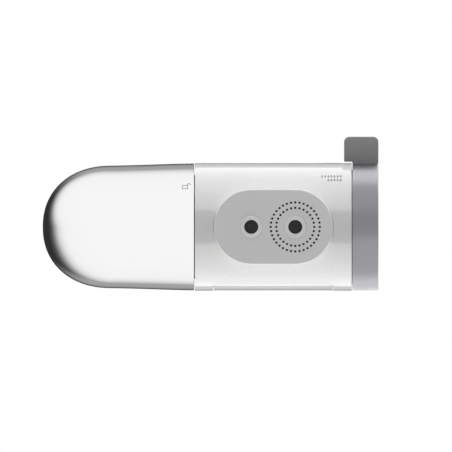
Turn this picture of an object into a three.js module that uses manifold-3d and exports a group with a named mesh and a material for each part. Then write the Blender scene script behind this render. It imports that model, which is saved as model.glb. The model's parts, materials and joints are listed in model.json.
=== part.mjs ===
// Tap-mounted water filter with a three-way selector.
// Millimetres, +Z up. The origin is the middle of the washer's top face, where the tap's end rests.
// +X runs along the barrel from the domed filter cover to the selector, and the outlets face -Z.

import * as THREE from 'three';
import { mergeVertices } from 'three/addons/utils/BufferGeometryUtils.js';
import Module from 'manifold-3d';

const wasm = await Module();
wasm.setup();

// ---------- driving dimensions

const CLEARANCE = 0.3; // between pieces that touch or seat on each other
const TURNING_CLEARANCE = 0.4; // around a round piece that another turns on or is pushed into
const SEAM = 0.35; // visible gap at the cover's mouth and beside the selector
const LAP = 0.5; // how far joined solids run into each other
const PAST = 1; // how far a cutting tool runs past the face that it opens

const FINE = 40; // segments of the large round pieces
const ROUND = 20; // segments of the medium ones
const SMALL = 8; // segments of screws and passages
const SPRAY_SIDES = 6; // segments of a spray hole
const SEAL_SIDES = 5; // segments of a seal's section

const BODY_RADIUS = 31;
const BODY_LENGTH = 76.3;
const BODY_WALL = 2.6;
const BODY_EDGE = 0.5; // chamfer at the open ends

const TURRET_RADIUS = 17.5; // round pad under the tap nut
const TURRET_RISE = 0.5; // above the crown of the body

const SELECTOR_WIDTH = 13;
const SELECTOR_WALL = 2.5;
const SKIRT_WALL = 2.6;
const SKIRT_DEPTH = 3.1; // how far the selector's skirt reaches into the body
const WEB_THICKNESS = 2.5;
const END_CAP_THICKNESS = 2.4;
const END_CAP_SUNK = 0.2; // below the selector's rim
const SELECTOR_EDGE = 0.4; // chamfer at the selector's outer end
const SELECTOR_HUB_RADIUS = 9;
const SELECTOR_HUB_GAP = 2; // between the bonnet's hub and the selector's
const END_CAP_EDGE = 0.3;

const TAB_WIDTH = 16.7;
const TAB_REACH = 12.9; // beyond the selector's rim
const TAB_THICKNESS = 4;
const TAB_CORNER = 2.5;
const TAB_LIFT = 0.7; // gap between the tab's overhang and the body

const COVER_LENGTH = 73.6;
const COVER_STEP = 0.15; // from the body's surface down to the cover's, at the seam
const COVER_TAPER = 1.05; // from the mouth's radius down to the nose's
const NOSE_LENGTH = 33.5;
const NOSE_FULLNESS = 2.18; // 2 is an ellipse, more is squarer
const NOSE_STEPS = 7;
const SKIN_WALL = 0.8;
const LINER_WALL = 2.2;

const LUG_COUNT = 3;
const LUG_HEIGHT = 1.6;
const LUG_THICKNESS = 2.5;
const SOCKET_LUG_SPAN = 40; // degrees
const LINER_LUG_SPAN = 30; // degrees
const LUG_SLIP = 0.6; // axial play between locked lugs

const COLLAR_GAP = 2.35; // from the bayonet collar, which carries the cover's seal, to the liner
const COLLAR_WALL = 2.5;
const COLLAR_LENGTH = 14;
const COVER_SEAL_SECTION = 1.2; // radius of the ring's section
const COVER_SEAL_GROOVE_DEPTH = 1;
const COVER_SEAL_SETBACK = 2.4; // from the cover's mouth to the middle of the seal

const BULKHEAD_THICKNESS = 4.2;
const BULKHEAD_INSET = 2.6; // from the body's open end
const BARREL_RADIUS = 16;
const BARREL_FLANGE_RADIUS = 19;
const BARREL_FLANGE_WIDTH = 6;
const BARREL_PAST_CUP = 0.1; // from the spray cup's side to the barrel's end

const OUTLET_SPACING = 21.4;
const PLATE_END_RADIUS = 18.6; // of the stadium-shaped outlet plate, where the body has room
const PLATE_RISE = 0.2; // of the plate's face below the crown of the body
const PLATE_EDGE = 0.8; // rounding of the face's edge
const PLATE_WALL = 2.2;
const PLATE_BACK = 19.6; // from the barrel's axis to the rim of the plate's walls
const PLATE_FLANGE_OVERHANG = 2.1;

const SPRAY_HOLE_RADIUS = 0.5;
const SPRAY_ROWS = [
  { radius: 9.25, count: 28 },
  { radius: 11.93, count: 36 },
];

const NOZZLE_HEAD_OVERHANG = 0.5; // beyond the shank
const NOZZLE_HEAD_PROUD = 0.7;
const NOZZLE_HEAD_SUNK = 0.8;
const NOZZLE_BORE = 3.3;
const NOZZLE_SHANK_RADIUS = 4.8;
const NOZZLE_WALL = 0.6; // of the shank
const NOZZLE_LIP = 0.5;
const NOZZLE_LENGTH = 8;
const NOZZLE_EDGE = 0.35; // chamfer round the head
const SCREEN_THICKNESS = 0.6;
const SCREEN_PITCH = 1.5;
const SCREEN_HOLE = 0.9;
const SCREEN_RIM = 0.4; // solid edge round the holes

const GASKET_THICKNESS = 0.8;
const GASKET_INSET = 0.3; // from a socket's outer edge to its gasket's
const SOCKET_WALL = 2.3;
const SPRAY_CUP_MARGIN = 0.57; // from the outer spray holes to the cup's wall
const SOCKET_LAP = 0.2; // how far the filtered socket may run into the cup
const SPRAY_CUP_WALL = 1.2;
const SPRAY_CUP_DEPTH = 4.2;
const SPRAY_CUP_FLOOR = 3; // thickness of the cup's closed end
const OUTLET_SOCKET_DEPTH = 5; // of the bores that meet the outlets

const DISC_CHAMBER_RADIUS = 12;
const DISC_THICKNESS = 3;
const DISC_PLAY = 0.3;
const CHAMBER_FLOOR = 1; // between the discs' chamber and the cross drilling behind it
const DISC_POCKET = { depth: 1.2, margin: 0.6 }; // hollow that links the ports
const PORT_CIRCLE = 9;
const PORT_RADIUS = 1.6;
const DRILL_STEP = 0.1; // each cross drilling is this much narrower than the one it meets
const DRILL_RUN = 0.2; // and runs this far past its middle
const DRILL_END = 0.5; // from a blind passage's end to the middle of the one that leaves it
const SELECTOR_STEP = 40; // degrees between two positions of the selector
const INLET_PORT = { y: 1, z: 5, radius: 2.2 };
const RETURN_RADIUS = 2.5;

const STEM_RADIUS = 4.6;
const STEM_BORE_CLEARANCE = 0.6;
const STEM_FLANGE_RADIUS = 10.5;
const STEM_FLANGE_THICKNESS = 2.4;
const STEM_FLAT = 3.6; // from the axis to the flat at the stem's end
const STEM_SETBACK = 1.6; // from the selector's web to the stem's end
const KEY_LAP = 0.2; // how far the key on the flat runs into the selector's hub
const STEM_SEAL_SECTION = 0.6;
const STEM_GROOVE_WIDTH = 1.8;
const STEM_GROOVE_DEPTH = 1.2;
const STEM_GROOVES = [2.3, 6.1]; // from the bonnet's face to the middle of each
const TANG = { length: 1.5, width: 4, thickness: 2, radius: 7.6 };

const BONNET_THICKNESS = 3.4;
const BONNET_HUB_RADIUS = 8.5;
const BONNET_HUB_LENGTH = 6;
const BONNET_SPIGOT = 2.4;
const FACE_GASKET_THICKNESS = 0.5;
const SCREW_CIRCLE = 15.6;
const SCREW_ANGLES = [90, 210, 330];
const SCREW_RADIUS = 1.5;
const SCREW_HEAD_RADIUS = 2.7;
const SCREW_HEAD_HEIGHT = 1.9;
const SCREW_HEAD_CROWN = { height: 0.6, radius: 0.7 }; // parts of the head's height and radius
const SCREW_LENGTH = 8;
const SCREW_DRIVE = { length: 3, width: 0.7, depth: 0.9 };

const TOWER_RADIUS = 11;
const INLET_SHANK_RADIUS = 9;
const INLET_BORE = 6.2;
const INLET_SOCKET_FLOOR = 16.5;
const INLET_PASSAGE = 4;
const INLET_SEAL_THICKNESS = 1;
const INLET_FLANGE_RADIUS = 11.2;
const INLET_FLANGE_THICKNESS = 2;
const STRAINER_RADIUS = 7.9;
const STRAINER_THICKNESS = 0.6;
const STRAINER_PITCH = 2.6;
const STRAINER_HOLE = 1.6;
const WASHER_THICKNESS = 2;
const WASHER_INNER = 7.2;
const WASHER_OUTER = 11;

const NUT_RADIUS = 16;
const NUT_HEIGHT = 15.6;
const NUT_BORE = 12;
const NUT_LIP = 1.5;
const NUT_RIBS = 24;
const NUT_RIB_HEIGHT = 0.45;
const NUT_RIB_STEPS = 4; // points of the outline for each rib

const REAR_COVER_LENGTH = 58;
const REAR_COVER_HEIGHT = 31.4;
const REAR_COVER_CORNER = 4;
const REAR_COVER_WALL = 1.2;
const REAR_COVER_SUNK = 0.15;
const REAR_OPENING_MARGIN = 3.4;
const HOOK = { width: 8, thickness: 1.5, barb: 1.2, barbLength: 2, reach: 6.6, offset: 17 };

const CARTRIDGE_SLIP = 0.6; // between the cartridge and the collar around it
const CARTRIDGE_START = 2.4; // from the cover's mouth to the head's face
const CARTRIDGE_HEAD = 4;
const CARTRIDGE_MEDIA = 40;
const CARTRIDGE_CAP = 12;
const CAP_NOSE_RADIUS = 15;
const HEAD_NOTCHES = 8;
const HEAD_NOTCH_RADIUS = 2.2;
const SPIGOT_RADIUS = 5.6;
const SPIGOT_REACH = 9.5;
const SPIGOT_BORE = 3;
const SPIGOT_GROOVE_WIDTH = 2;
const SPIGOT_GROOVE_DEPTH = 1.1;
const SPIGOT_SEAL_SECTION = 0.6;
const SOCKET_BORE = 6.1;
const SOCKET_HUB_RADIUS = 9.5;
const SOCKET_HUB_LENGTH = 2.5;
const SOCKET_DEPTH = 11;
const FLEECE_WALL = 1.2;
const CARBON_INNER = 8.2;
const CORE_OUTER = 7.9;
const CORE_INNER = 6.2;
const CORE_SLOT = { width: 2.4, length: 6, rows: 3, around: 4 };

// ---------- places worked out from them

const AXIS_DROP = BODY_RADIUS + TURRET_RISE + CLEARANCE + NUT_LIP + CLEARANCE
  + INLET_FLANGE_THICKNESS + CLEARANCE + WASHER_THICKNESS;
const BODY_HALF = BODY_LENGTH / 2;
const BODY_BORE = BODY_RADIUS - BODY_WALL;
const TURRET_TOP = BODY_RADIUS + TURRET_RISE;
const OUTLET_X = OUTLET_SPACING / 2;
const TOWER_TOP = Math.sqrt(BODY_BORE ** 2 - TOWER_RADIUS ** 2) - CLEARANCE;

const PLATE_FACE = BODY_RADIUS + PLATE_RISE;
const PLATE_ROOM = BODY_HALF - SKIRT_DEPTH - 2 * CLEARANCE - OUTLET_X;
const PLATE_RADIUS = Math.min(PLATE_END_RADIUS, PLATE_ROOM);
const SOCKET_RIM = PLATE_BACK - GASKET_THICKNESS - 2 * CLEARANCE;
const SOCKET_CEILING = SOCKET_RIM - OUTLET_SOCKET_DEPTH;
const NOZZLE_HEAD_RADIUS = NOZZLE_SHANK_RADIUS + NOZZLE_HEAD_OVERHANG;
const NOZZLE_HOLE = NOZZLE_SHANK_RADIUS + CLEARANCE;
const SCREEN_RADIUS = NOZZLE_SHANK_RADIUS - NOZZLE_WALL - CLEARANCE;
const SPRAY_CHAMBER_RADIUS = SPRAY_ROWS.at(-1).radius + SPRAY_HOLE_RADIUS + SPRAY_CUP_MARGIN;
const SPRAY_CUP_RADIUS = SPRAY_CHAMBER_RADIUS + SPRAY_CUP_WALL;
const BARREL_END = OUTLET_X + SPRAY_CUP_RADIUS + BARREL_PAST_CUP;
const SOCKET_RADIUS = Math.min(
  NOZZLE_HOLE + SOCKET_WALL,
  OUTLET_SPACING - SPRAY_CUP_RADIUS + SOCKET_LAP,
);

const COVER_MOUTH_RADIUS = BODY_RADIUS - COVER_STEP;
const NOSE_RADIUS = COVER_MOUTH_RADIUS - COVER_TAPER;
const COVER_MOUTH = -BODY_HALF - SEAM;
const COVER_TIP = COVER_MOUTH - COVER_LENGTH;
const LINER_INSET = SKIN_WALL + CLEARANCE;
const LINER_BORE_INSET = LINER_INSET + LINER_WALL;
const LINER_MOUTH = COVER_MOUTH - CLEARANCE;
const COLLAR_RADIUS = COVER_MOUTH_RADIUS - LINER_BORE_INSET - COLLAR_GAP;
const CARTRIDGE_RADIUS = COLLAR_RADIUS - COLLAR_WALL - CARTRIDGE_SLIP;
const BULKHEAD_FACE = -BODY_HALF + BULKHEAD_INSET;
const BULKHEAD_BACK = BULKHEAD_FACE + BULKHEAD_THICKNESS;
const COLLAR_END = BULKHEAD_FACE - COLLAR_LENGTH;
const SOCKET_LUG_START = COLLAR_END + LUG_THICKNESS;
const LINER_LUG_LEFT = SOCKET_LUG_START + LUG_SLIP;
const COVER_SEAL_X = COVER_MOUTH - COVER_SEAL_SETBACK;
const COVER_SEAL_GROOVE = COLLAR_RADIUS - COVER_SEAL_GROOVE_DEPTH;
const COVER_SEAL_RADIUS = COVER_SEAL_GROOVE + CLEARANCE + COVER_SEAL_SECTION;

const BONNET_X = BARREL_END + FACE_GASKET_THICKNESS + 2 * CLEARANCE;
const STEM_FLANGE_X = BONNET_X - BONNET_SPIGOT - CLEARANCE - STEM_FLANGE_THICKNESS;
const MOVING_DISC_X = STEM_FLANGE_X - DISC_PLAY - DISC_THICKNESS;
const FIXED_DISC_X = MOVING_DISC_X - DISC_PLAY - DISC_THICKNESS;
const DISC_CHAMBER_X = FIXED_DISC_X - DISC_PLAY;
const STEM_BORE = STEM_RADIUS + STEM_BORE_CLEARANCE;

const SELECTOR_START = BODY_HALF + SEAM;
const SELECTOR_END = BODY_HALF + SELECTOR_WIDTH;
const WEB_RIGHT = SELECTOR_END - END_CAP_SUNK - END_CAP_THICKNESS - CLEARANCE;
const WEB_LEFT = WEB_RIGHT - WEB_THICKNESS;
const SELECTOR_HUB_START = BONNET_X + BONNET_THICKNESS + BONNET_HUB_LENGTH + SELECTOR_HUB_GAP;
const STEM_END = WEB_LEFT - STEM_SETBACK;

const NUT_BOTTOM = TURRET_TOP + CLEARANCE;
const INLET_FLANGE_Z = NUT_BOTTOM + NUT_LIP + CLEARANCE;
const INLET_TOP = INLET_FLANGE_Z + INLET_FLANGE_THICKNESS;

const HEAD_FACE = COVER_MOUTH - CARTRIDGE_START;
const MEDIA_RIGHT = HEAD_FACE - CARTRIDGE_HEAD - CLEARANCE;
const MEDIA_LEFT = MEDIA_RIGHT - CARTRIDGE_MEDIA;
const CAP_RIGHT = MEDIA_LEFT - CLEARANCE;

// ---------- materials

const material = (color, roughness, metalness = 0) =>
  new THREE.MeshStandardMaterial({ color, roughness, metalness });

const WHITE_GLOSS = material(0xeeeeec, 0.18);
const WHITE_SATIN = material(0xe2e2df, 0.45);
const PLATE_WHITE = material(0xe6e6e6, 0.2);
const NOZZLE_WHITE = material(0xececec, 0.25);
const BLACK_MESH = material(0x1b1b1b, 0.55, 0.3);
const POLISHED_STEEL = material(0xe6e6e4, 0.08, 1);
const STEEL = material(0xb4b4b2, 0.3, 1);
const ANODISED_GREY = material(0x8e8d92, 0.35, 1);
const SEAL_BLACK = material(0x141414, 0.7);
const CERAMIC = material(0xf3efe6, 0.15);
const CARBON = material(0x161616, 0.95);
const FLEECE = material(0xf0f0ec, 0.95);
const LINER_GREY = material(0xcfd0cf, 0.5);

// ---------- solids

/** A manifold solid from a closed three.js geometry. */
function solidOf(geometry) {
  const bare = geometry.clone();
  bare.deleteAttribute('normal');
  bare.deleteAttribute('uv');
  const merged = mergeVertices(bare, 1e-4);
  const index = merged.getIndex().array;
  const triangles = [];
  for (let i = 0; i < index.length; i += 3) {
    const [a, b, c] = [index[i], index[i + 1], index[i + 2]];
    if (a !== b && b !== c && c !== a) {
      triangles.push(a, b, c);
    }
  }
  return new wasm.Manifold(new wasm.Mesh({
    numProp: 3,
    vertProperties: new Float32Array(merged.getAttribute('position').array),
    triVerts: new Uint32Array(triangles),
  }));
}

/** The three.js geometry of a manifold solid. */
function geometryOf(solid) {
  const mesh = solid.getMesh();
  const geometry = new THREE.BufferGeometry();
  geometry.setAttribute('position', new THREE.BufferAttribute(new Float32Array(mesh.vertProperties), 3));
  geometry.setIndex(Array.from(mesh.triVerts));
  geometry.computeVertexNormals();
  return geometry;
}

function join(first, ...others) {
  return geometryOf(others.reduce((whole, piece) => whole.add(solidOf(piece)), solidOf(first)));
}

function cut(base, ...tools) {
  return geometryOf(tools.reduce((rest, tool) => rest.subtract(solidOf(tool)), solidOf(base)));
}

function common(first, second) {
  return geometryOf(solidOf(first).intersect(solidOf(second)));
}

/** A solid of revolution about the Y axis from [along, radius] points. */
function revolve(outline, segments) {
  const points = outline.map(([along, radius]) => new THREE.Vector2(radius, along));
  if (points[0].x !== 0 || points.at(-1).x !== 0) {
    points.push(points[0].clone());
  }
  if (THREE.ShapeUtils.area(points) < 0) {
    points.reverse();
  }
  return new THREE.LatheGeometry(points, segments);
}

const aboutX = (outline, segments) => revolve(outline, segments).rotateZ(-Math.PI / 2);
const aboutZ = (outline, segments) => revolve(outline, segments).rotateX(Math.PI / 2);

/** A round bar along X, Y or Z, from one end to the other, around the given line. */
function barX(start, end, radius, segments = SMALL, y = 0, z = 0) {
  return aboutX([[start, 0], [start, radius], [end, radius], [end, 0]], segments).translate(0, y, z);
}

function barY(start, end, radius, segments = SMALL, x = 0, z = 0) {
  return revolve([[start, 0], [start, radius], [end, radius], [end, 0]], segments).translate(x, 0, z);
}

function barZ(start, end, radius, segments = SMALL, x = 0, y = 0) {
  return aboutZ([[start, 0], [start, radius], [end, radius], [end, 0]], segments).translate(x, y, 0);
}

/** A round tube along X or Z. */
function tubeX(start, end, inner, outer, segments) {
  return aboutX([[start, inner], [start, outer], [end, outer], [end, inner]], segments);
}

function tubeZ(start, end, inner, outer, segments, x = 0) {
  return aboutZ([[start, inner], [start, outer], [end, outer], [end, inner]], segments).translate(x, 0, 0);
}

/** A ring of round section about the X axis. */
function ringX(x, radius, section, segments, sides) {
  return new THREE.TorusGeometry(radius, section, sides, segments).rotateY(Math.PI / 2).translate(x, 0, 0);
}

/** A box between two corners. */
function box([x0, y0, z0], [x1, y1, z1]) {
  return new THREE.BoxGeometry(x1 - x0, y1 - y0, z1 - z0)
    .translate((x0 + x1) / 2, (y0 + y1) / 2, (z0 + z1) / 2);
}

/** A shape drawn in X and Y, extruded between two heights. */
function alongZ(shape, start, end, curveSegments = 12) {
  return new THREE.ExtrudeGeometry(shape, { depth: end - start, bevelEnabled: false, curveSegments })
    .translate(0, 0, start);
}

/** A shape drawn in Y and Z, extruded along X. */
function alongX(shape, start, end, curveSegments = 4) {
  const turn = new THREE.Matrix4().makeBasis(
    new THREE.Vector3(0, 1, 0),
    new THREE.Vector3(0, 0, 1),
    new THREE.Vector3(1, 0, 0),
  );
  return alongZ(shape, start, end, curveSegments).applyMatrix4(turn);
}

/** A shape drawn in Z and X, extruded along Y. */
function alongY(shape, start, end, curveSegments = 6) {
  const turn = new THREE.Matrix4().makeBasis(
    new THREE.Vector3(0, 0, 1),
    new THREE.Vector3(1, 0, 0),
    new THREE.Vector3(0, 1, 0),
  );
  return alongZ(shape, start, end, curveSegments).applyMatrix4(turn);
}

/** A stadium along X with its end centres at the two outlets. */
function stadium(radius) {
  const shape = new THREE.Shape();
  shape.absarc(OUTLET_X, 0, radius, -Math.PI / 2, Math.PI / 2, false);
  shape.absarc(-OUTLET_X, 0, radius, Math.PI / 2, 3 * Math.PI / 2, false);
  shape.closePath();
  return shape;
}

/** A rectangle with round corners, centred on the origin. */
function roundedRectangle(width, height, corner) {
  const x = width / 2 - corner;
  const y = height / 2 - corner;
  const shape = new THREE.Shape();
  shape.absarc(x, y, corner, 0, Math.PI / 2, false);
  shape.absarc(-x, y, corner, Math.PI / 2, Math.PI, false);
  shape.absarc(-x, -y, corner, Math.PI, 3 * Math.PI / 2, false);
  shape.absarc(x, -y, corner, 3 * Math.PI / 2, 2 * Math.PI, false);
  shape.closePath();
  return shape;
}

/** A piece of a flat ring, around the given middle angle in degrees. */
function ringSector(inner, outer, middle, span) {
  const from = THREE.MathUtils.degToRad(middle - span / 2);
  const to = THREE.MathUtils.degToRad(middle + span / 2);
  const shape = new THREE.Shape();
  shape.absarc(0, 0, outer, from, to, false);
  shape.absarc(0, 0, inner, to, from, true);
  shape.closePath();
  return shape;
}

/** Where a point on a circle lies, its angle in degrees from the first axis to the second. */
function onCircle(radius, degrees) {
  const angle = THREE.MathUtils.degToRad(degrees);
  return [radius * Math.cos(angle), radius * Math.sin(angle)];
}

/** Square holes on a grid, as bars along Z that lie wholly within the given radius. */
function gridHoles(radius, pitch, side, bottom, top) {
  const holes = [];
  const reach = Math.floor(radius / pitch);
  for (let i = -reach; i <= reach; i += 1) {
    for (let j = -reach; j <= reach; j += 1) {
      const corner = Math.hypot(Math.abs(i * pitch) + side / 2, Math.abs(j * pitch) + side / 2);
      if (corner < radius) {
        holes.push(box(
          [i * pitch - side / 2, j * pitch - side / 2, bottom],
          [i * pitch + side / 2, j * pitch + side / 2, top],
        ));
      }
    }
  }
  return holes;
}

const bodies = new THREE.Group();

function addPart(name, geometry, look, group = bodies) {
  const mesh = new THREE.Mesh(geometry, look);
  mesh.name = name;
  group.add(mesh);
  return mesh;
}

// ---------- body shell and rear cover

const CUT_REACH = BODY_RADIUS + TAB_REACH; // longer than any wall that a tool goes through

function rearWindow(length, height, corner) {
  return roundedRectangle(height, length, corner);
}

function bodyShell() {
  const tube = aboutX([
    [-BODY_HALF, BODY_BORE],
    [-BODY_HALF, BODY_RADIUS - BODY_EDGE],
    [-BODY_HALF + BODY_EDGE, BODY_RADIUS],
    [BODY_HALF - BODY_EDGE, BODY_RADIUS],
    [BODY_HALF, BODY_RADIUS - BODY_EDGE],
    [BODY_HALF, BODY_BORE],
  ], FINE);
  const turret = cut(
    barZ(BODY_BORE - BODY_WALL, TURRET_TOP, TURRET_RADIUS, ROUND),
    barX(-BODY_HALF, BODY_HALF, BODY_BORE + LAP, FINE),
  );
  const rearPocket = common(
    alongY(rearWindow(
      REAR_COVER_LENGTH + 2 * CLEARANCE,
      REAR_COVER_HEIGHT + 2 * CLEARANCE,
      REAR_COVER_CORNER + CLEARANCE,
    ), 0, CUT_REACH),
    tubeX(
      -BODY_HALF,
      BODY_HALF,
      BODY_RADIUS - REAR_COVER_SUNK - REAR_COVER_WALL - CLEARANCE,
      BODY_RADIUS + PAST,
      FINE,
    ),
  );
  const rearOpening = alongY(rearWindow(
    REAR_COVER_LENGTH - 2 * REAR_OPENING_MARGIN,
    REAR_COVER_HEIGHT - 2 * REAR_OPENING_MARGIN,
    REAR_COVER_CORNER,
  ), 0, CUT_REACH);
  return cut(
    join(tube, turret),
    alongZ(stadium(PLATE_RADIUS + CLEARANCE), -CUT_REACH, -PLATE_BACK),
    barZ(0, CUT_REACH, INLET_SHANK_RADIUS + TURNING_CLEARANCE, ROUND),
    rearPocket,
    rearOpening,
  );
}

function rearCover() {
  const outer = BODY_RADIUS - REAR_COVER_SUNK;
  const panel = common(
    alongY(rearWindow(REAR_COVER_LENGTH, REAR_COVER_HEIGHT, REAR_COVER_CORNER), 0, CUT_REACH),
    tubeX(-BODY_HALF, BODY_HALF, outer - REAR_COVER_WALL, outer, FINE),
  );
  const edge = REAR_COVER_HEIGHT / 2 - REAR_OPENING_MARGIN - CLEARANCE;
  const crown = outer * Math.cos(Math.asin(edge / outer));
  const hooks = [];
  for (const side of [-1, 1]) {
    for (const x of [-HOOK.offset, HOOK.offset]) {
      const z = [edge - HOOK.thickness, edge, edge + HOOK.barb].map((value) => value * side);
      const left = x - HOOK.width / 2;
      const right = x + HOOK.width / 2;
      const tip = crown - HOOK.reach;
      hooks.push(box(
        [left, tip, Math.min(z[0], z[1])],
        [right, crown - REAR_COVER_WALL / 2, Math.max(z[0], z[1])],
      ));
      hooks.push(box(
        [left, tip, Math.min(z[0], z[2])],
        [right, tip + HOOK.barbLength, Math.max(z[0], z[2])],
      ));
    }
  }
  return join(panel, ...hooks);
}

addPart('body_shell', bodyShell(), WHITE_GLOSS);
addPart('rear_cover', rearCover(), WHITE_GLOSS);

// ---------- valve block

const STRAIGHT_PORT = onCircle(PORT_CIRCLE, 180);
const SPRAY_PORT = onCircle(PORT_CIRCLE, 180 + SELECTOR_STEP);
const FEED_PORT = onCircle(PORT_CIRCLE, 180 - SELECTOR_STEP);

function valveBlock() {
  const barrel = aboutX([
    [BULKHEAD_BACK - LAP, 0],
    [BULKHEAD_BACK - LAP, BARREL_RADIUS],
    [BARREL_END - BARREL_FLANGE_WIDTH, BARREL_RADIUS],
    [BARREL_END - BARREL_FLANGE_WIDTH, BARREL_FLANGE_RADIUS],
    [BARREL_END, BARREL_FLANGE_RADIUS],
    [BARREL_END, 0],
  ], ROUND);
  const seat = COVER_SEAL_SECTION + CLEARANCE;
  const bulkhead = aboutX([
    [BULKHEAD_BACK, 0],
    [BULKHEAD_BACK, BODY_BORE - CLEARANCE],
    [BULKHEAD_FACE, BODY_BORE - CLEARANCE],
    [BULKHEAD_FACE, COLLAR_RADIUS],
    [COVER_SEAL_X + seat, COLLAR_RADIUS],
    [COVER_SEAL_X + seat, COVER_SEAL_GROOVE],
    [COVER_SEAL_X - seat, COVER_SEAL_GROOVE],
    [COVER_SEAL_X - seat, COLLAR_RADIUS],
    [COLLAR_END, COLLAR_RADIUS],
    [COLLAR_END, COLLAR_RADIUS - COLLAR_WALL],
    [BULKHEAD_FACE, COLLAR_RADIUS - COLLAR_WALL],
    [BULKHEAD_FACE, SOCKET_HUB_RADIUS],
    [BULKHEAD_FACE - SOCKET_HUB_LENGTH, SOCKET_HUB_RADIUS],
    [BULKHEAD_FACE - SOCKET_HUB_LENGTH, 0],
  ], FINE);
  const lugs = [];
  for (let i = 0; i < LUG_COUNT; i += 1) {
    lugs.push(alongX(
      ringSector(COLLAR_RADIUS - LAP, COLLAR_RADIUS + LUG_HEIGHT, i * 360 / LUG_COUNT, SOCKET_LUG_SPAN),
      COLLAR_END,
      SOCKET_LUG_START,
    ));
  }
  const tower = barZ(0, TOWER_TOP, TOWER_RADIUS, ROUND);
  const filteredSocket = barZ(-SOCKET_RIM - PAST, 0, SOCKET_RADIUS, ROUND, -OUTLET_X);
  const sprayCup = barZ(
    -SOCKET_RIM - PAST,
    -SOCKET_RIM + SPRAY_CUP_DEPTH + SPRAY_CUP_FLOOR,
    SPRAY_CUP_RADIUS,
    ROUND,
    OUTLET_X,
  );
  const solid = join(barrel, bulkhead, ...lugs, tower, filteredSocket, sprayCup);

  const under = box(
    [BULKHEAD_BACK + PAST, -BARREL_FLANGE_RADIUS, -CUT_REACH],
    [BARREL_END + PAST, BARREL_FLANGE_RADIUS, -SOCKET_RIM],
  );
  const plateRoom = alongZ(
    stadium(PLATE_RADIUS + CLEARANCE),
    -CUT_REACH,
    -PLATE_BACK + CLEARANCE,
    10,
  );
  const sprayChamber = tubeZ(
    -SOCKET_RIM - 2 * PAST,
    -SOCKET_RIM + SPRAY_CUP_DEPTH,
    SOCKET_RADIUS,
    SPRAY_CHAMBER_RADIUS,
    ROUND,
    OUTLET_X,
  );
  const sockets = [-OUTLET_X, OUTLET_X].map((x) =>
    barZ(-SOCKET_RIM - 2 * PAST, -SOCKET_CEILING, NOZZLE_HOLE, ROUND, x));
  const discChamber = barX(DISC_CHAMBER_X, BARREL_END + PAST, DISC_CHAMBER_RADIUS, ROUND);
  const inlet = [
    barZ(INLET_SOCKET_FLOOR, TOWER_TOP + PAST, INLET_SHANK_RADIUS + CLEARANCE, ROUND),
    barZ(INLET_PORT.z, INLET_SOCKET_FLOOR + PAST, INLET_PASSAGE, SMALL),
    barX(0, DISC_CHAMBER_X + PAST, INLET_PORT.radius, SMALL, INLET_PORT.y, INLET_PORT.z),
  ];
  const filteredReturn = [
    barX(BULKHEAD_FACE - SOCKET_HUB_LENGTH - PAST, BULKHEAD_FACE + SOCKET_DEPTH, SOCKET_BORE, ROUND),
    barX(BULKHEAD_FACE + SOCKET_DEPTH - PAST, -OUTLET_X, RETURN_RADIUS, SMALL),
    barZ(-SOCKET_CEILING - PAST, DRILL_RUN, RETURN_RADIUS - DRILL_STEP, SMALL, -OUTLET_X),
  ];
  const cross = PORT_RADIUS - DRILL_STEP;
  const drop = cross - DRILL_STEP;
  const turnX = DISC_CHAMBER_X - PORT_RADIUS - CHAMBER_FLOOR;
  const straight = [
    barX(turnX - DRILL_END, DISC_CHAMBER_X + PAST, PORT_RADIUS, SMALL, ...STRAIGHT_PORT),
    barY(STRAIGHT_PORT[0] - DRILL_RUN, 0, cross, SMALL, turnX, 0),
    barZ(-SOCKET_CEILING - PAST, DRILL_RUN, drop, SMALL, turnX, -PORT_RADIUS),
  ];
  const chamberMiddle = (SOCKET_RADIUS + SPRAY_CHAMBER_RADIUS) / 2;
  const sprayX = OUTLET_X - Math.sqrt(chamberMiddle ** 2 - SPRAY_PORT[0] ** 2);
  const spray = [
    barX(sprayX - DRILL_END, DISC_CHAMBER_X + PAST, PORT_RADIUS, SMALL, ...SPRAY_PORT),
    barZ(
      -SOCKET_RIM + SPRAY_CUP_DEPTH - PAST,
      SPRAY_PORT[1] + DRILL_RUN,
      cross,
      SMALL,
      sprayX,
      SPRAY_PORT[0],
    ),
  ];
  const feed = barX(BULKHEAD_FACE - PAST, DISC_CHAMBER_X + PAST, PORT_RADIUS, SMALL, ...FEED_PORT);
  const screwHoles = SCREW_ANGLES.map((angle) => barX(
    BONNET_X + BONNET_THICKNESS - SCREW_LENGTH - PAST,
    BARREL_END + PAST,
    SCREW_RADIUS + CLEARANCE,
    SMALL,
    ...onCircle(SCREW_CIRCLE, angle),
  ));
  return cut(
    solid,
    under,
    plateRoom,
    sprayChamber,
    ...sockets,
    discChamber,
    ...inlet,
    ...filteredReturn,
    ...straight,
    ...spray,
    feed,
    ...screwHoles,
  );
}

addPart('valve_block', valveBlock(), WHITE_SATIN);

// ---------- outlet plate, nozzles and screens

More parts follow.
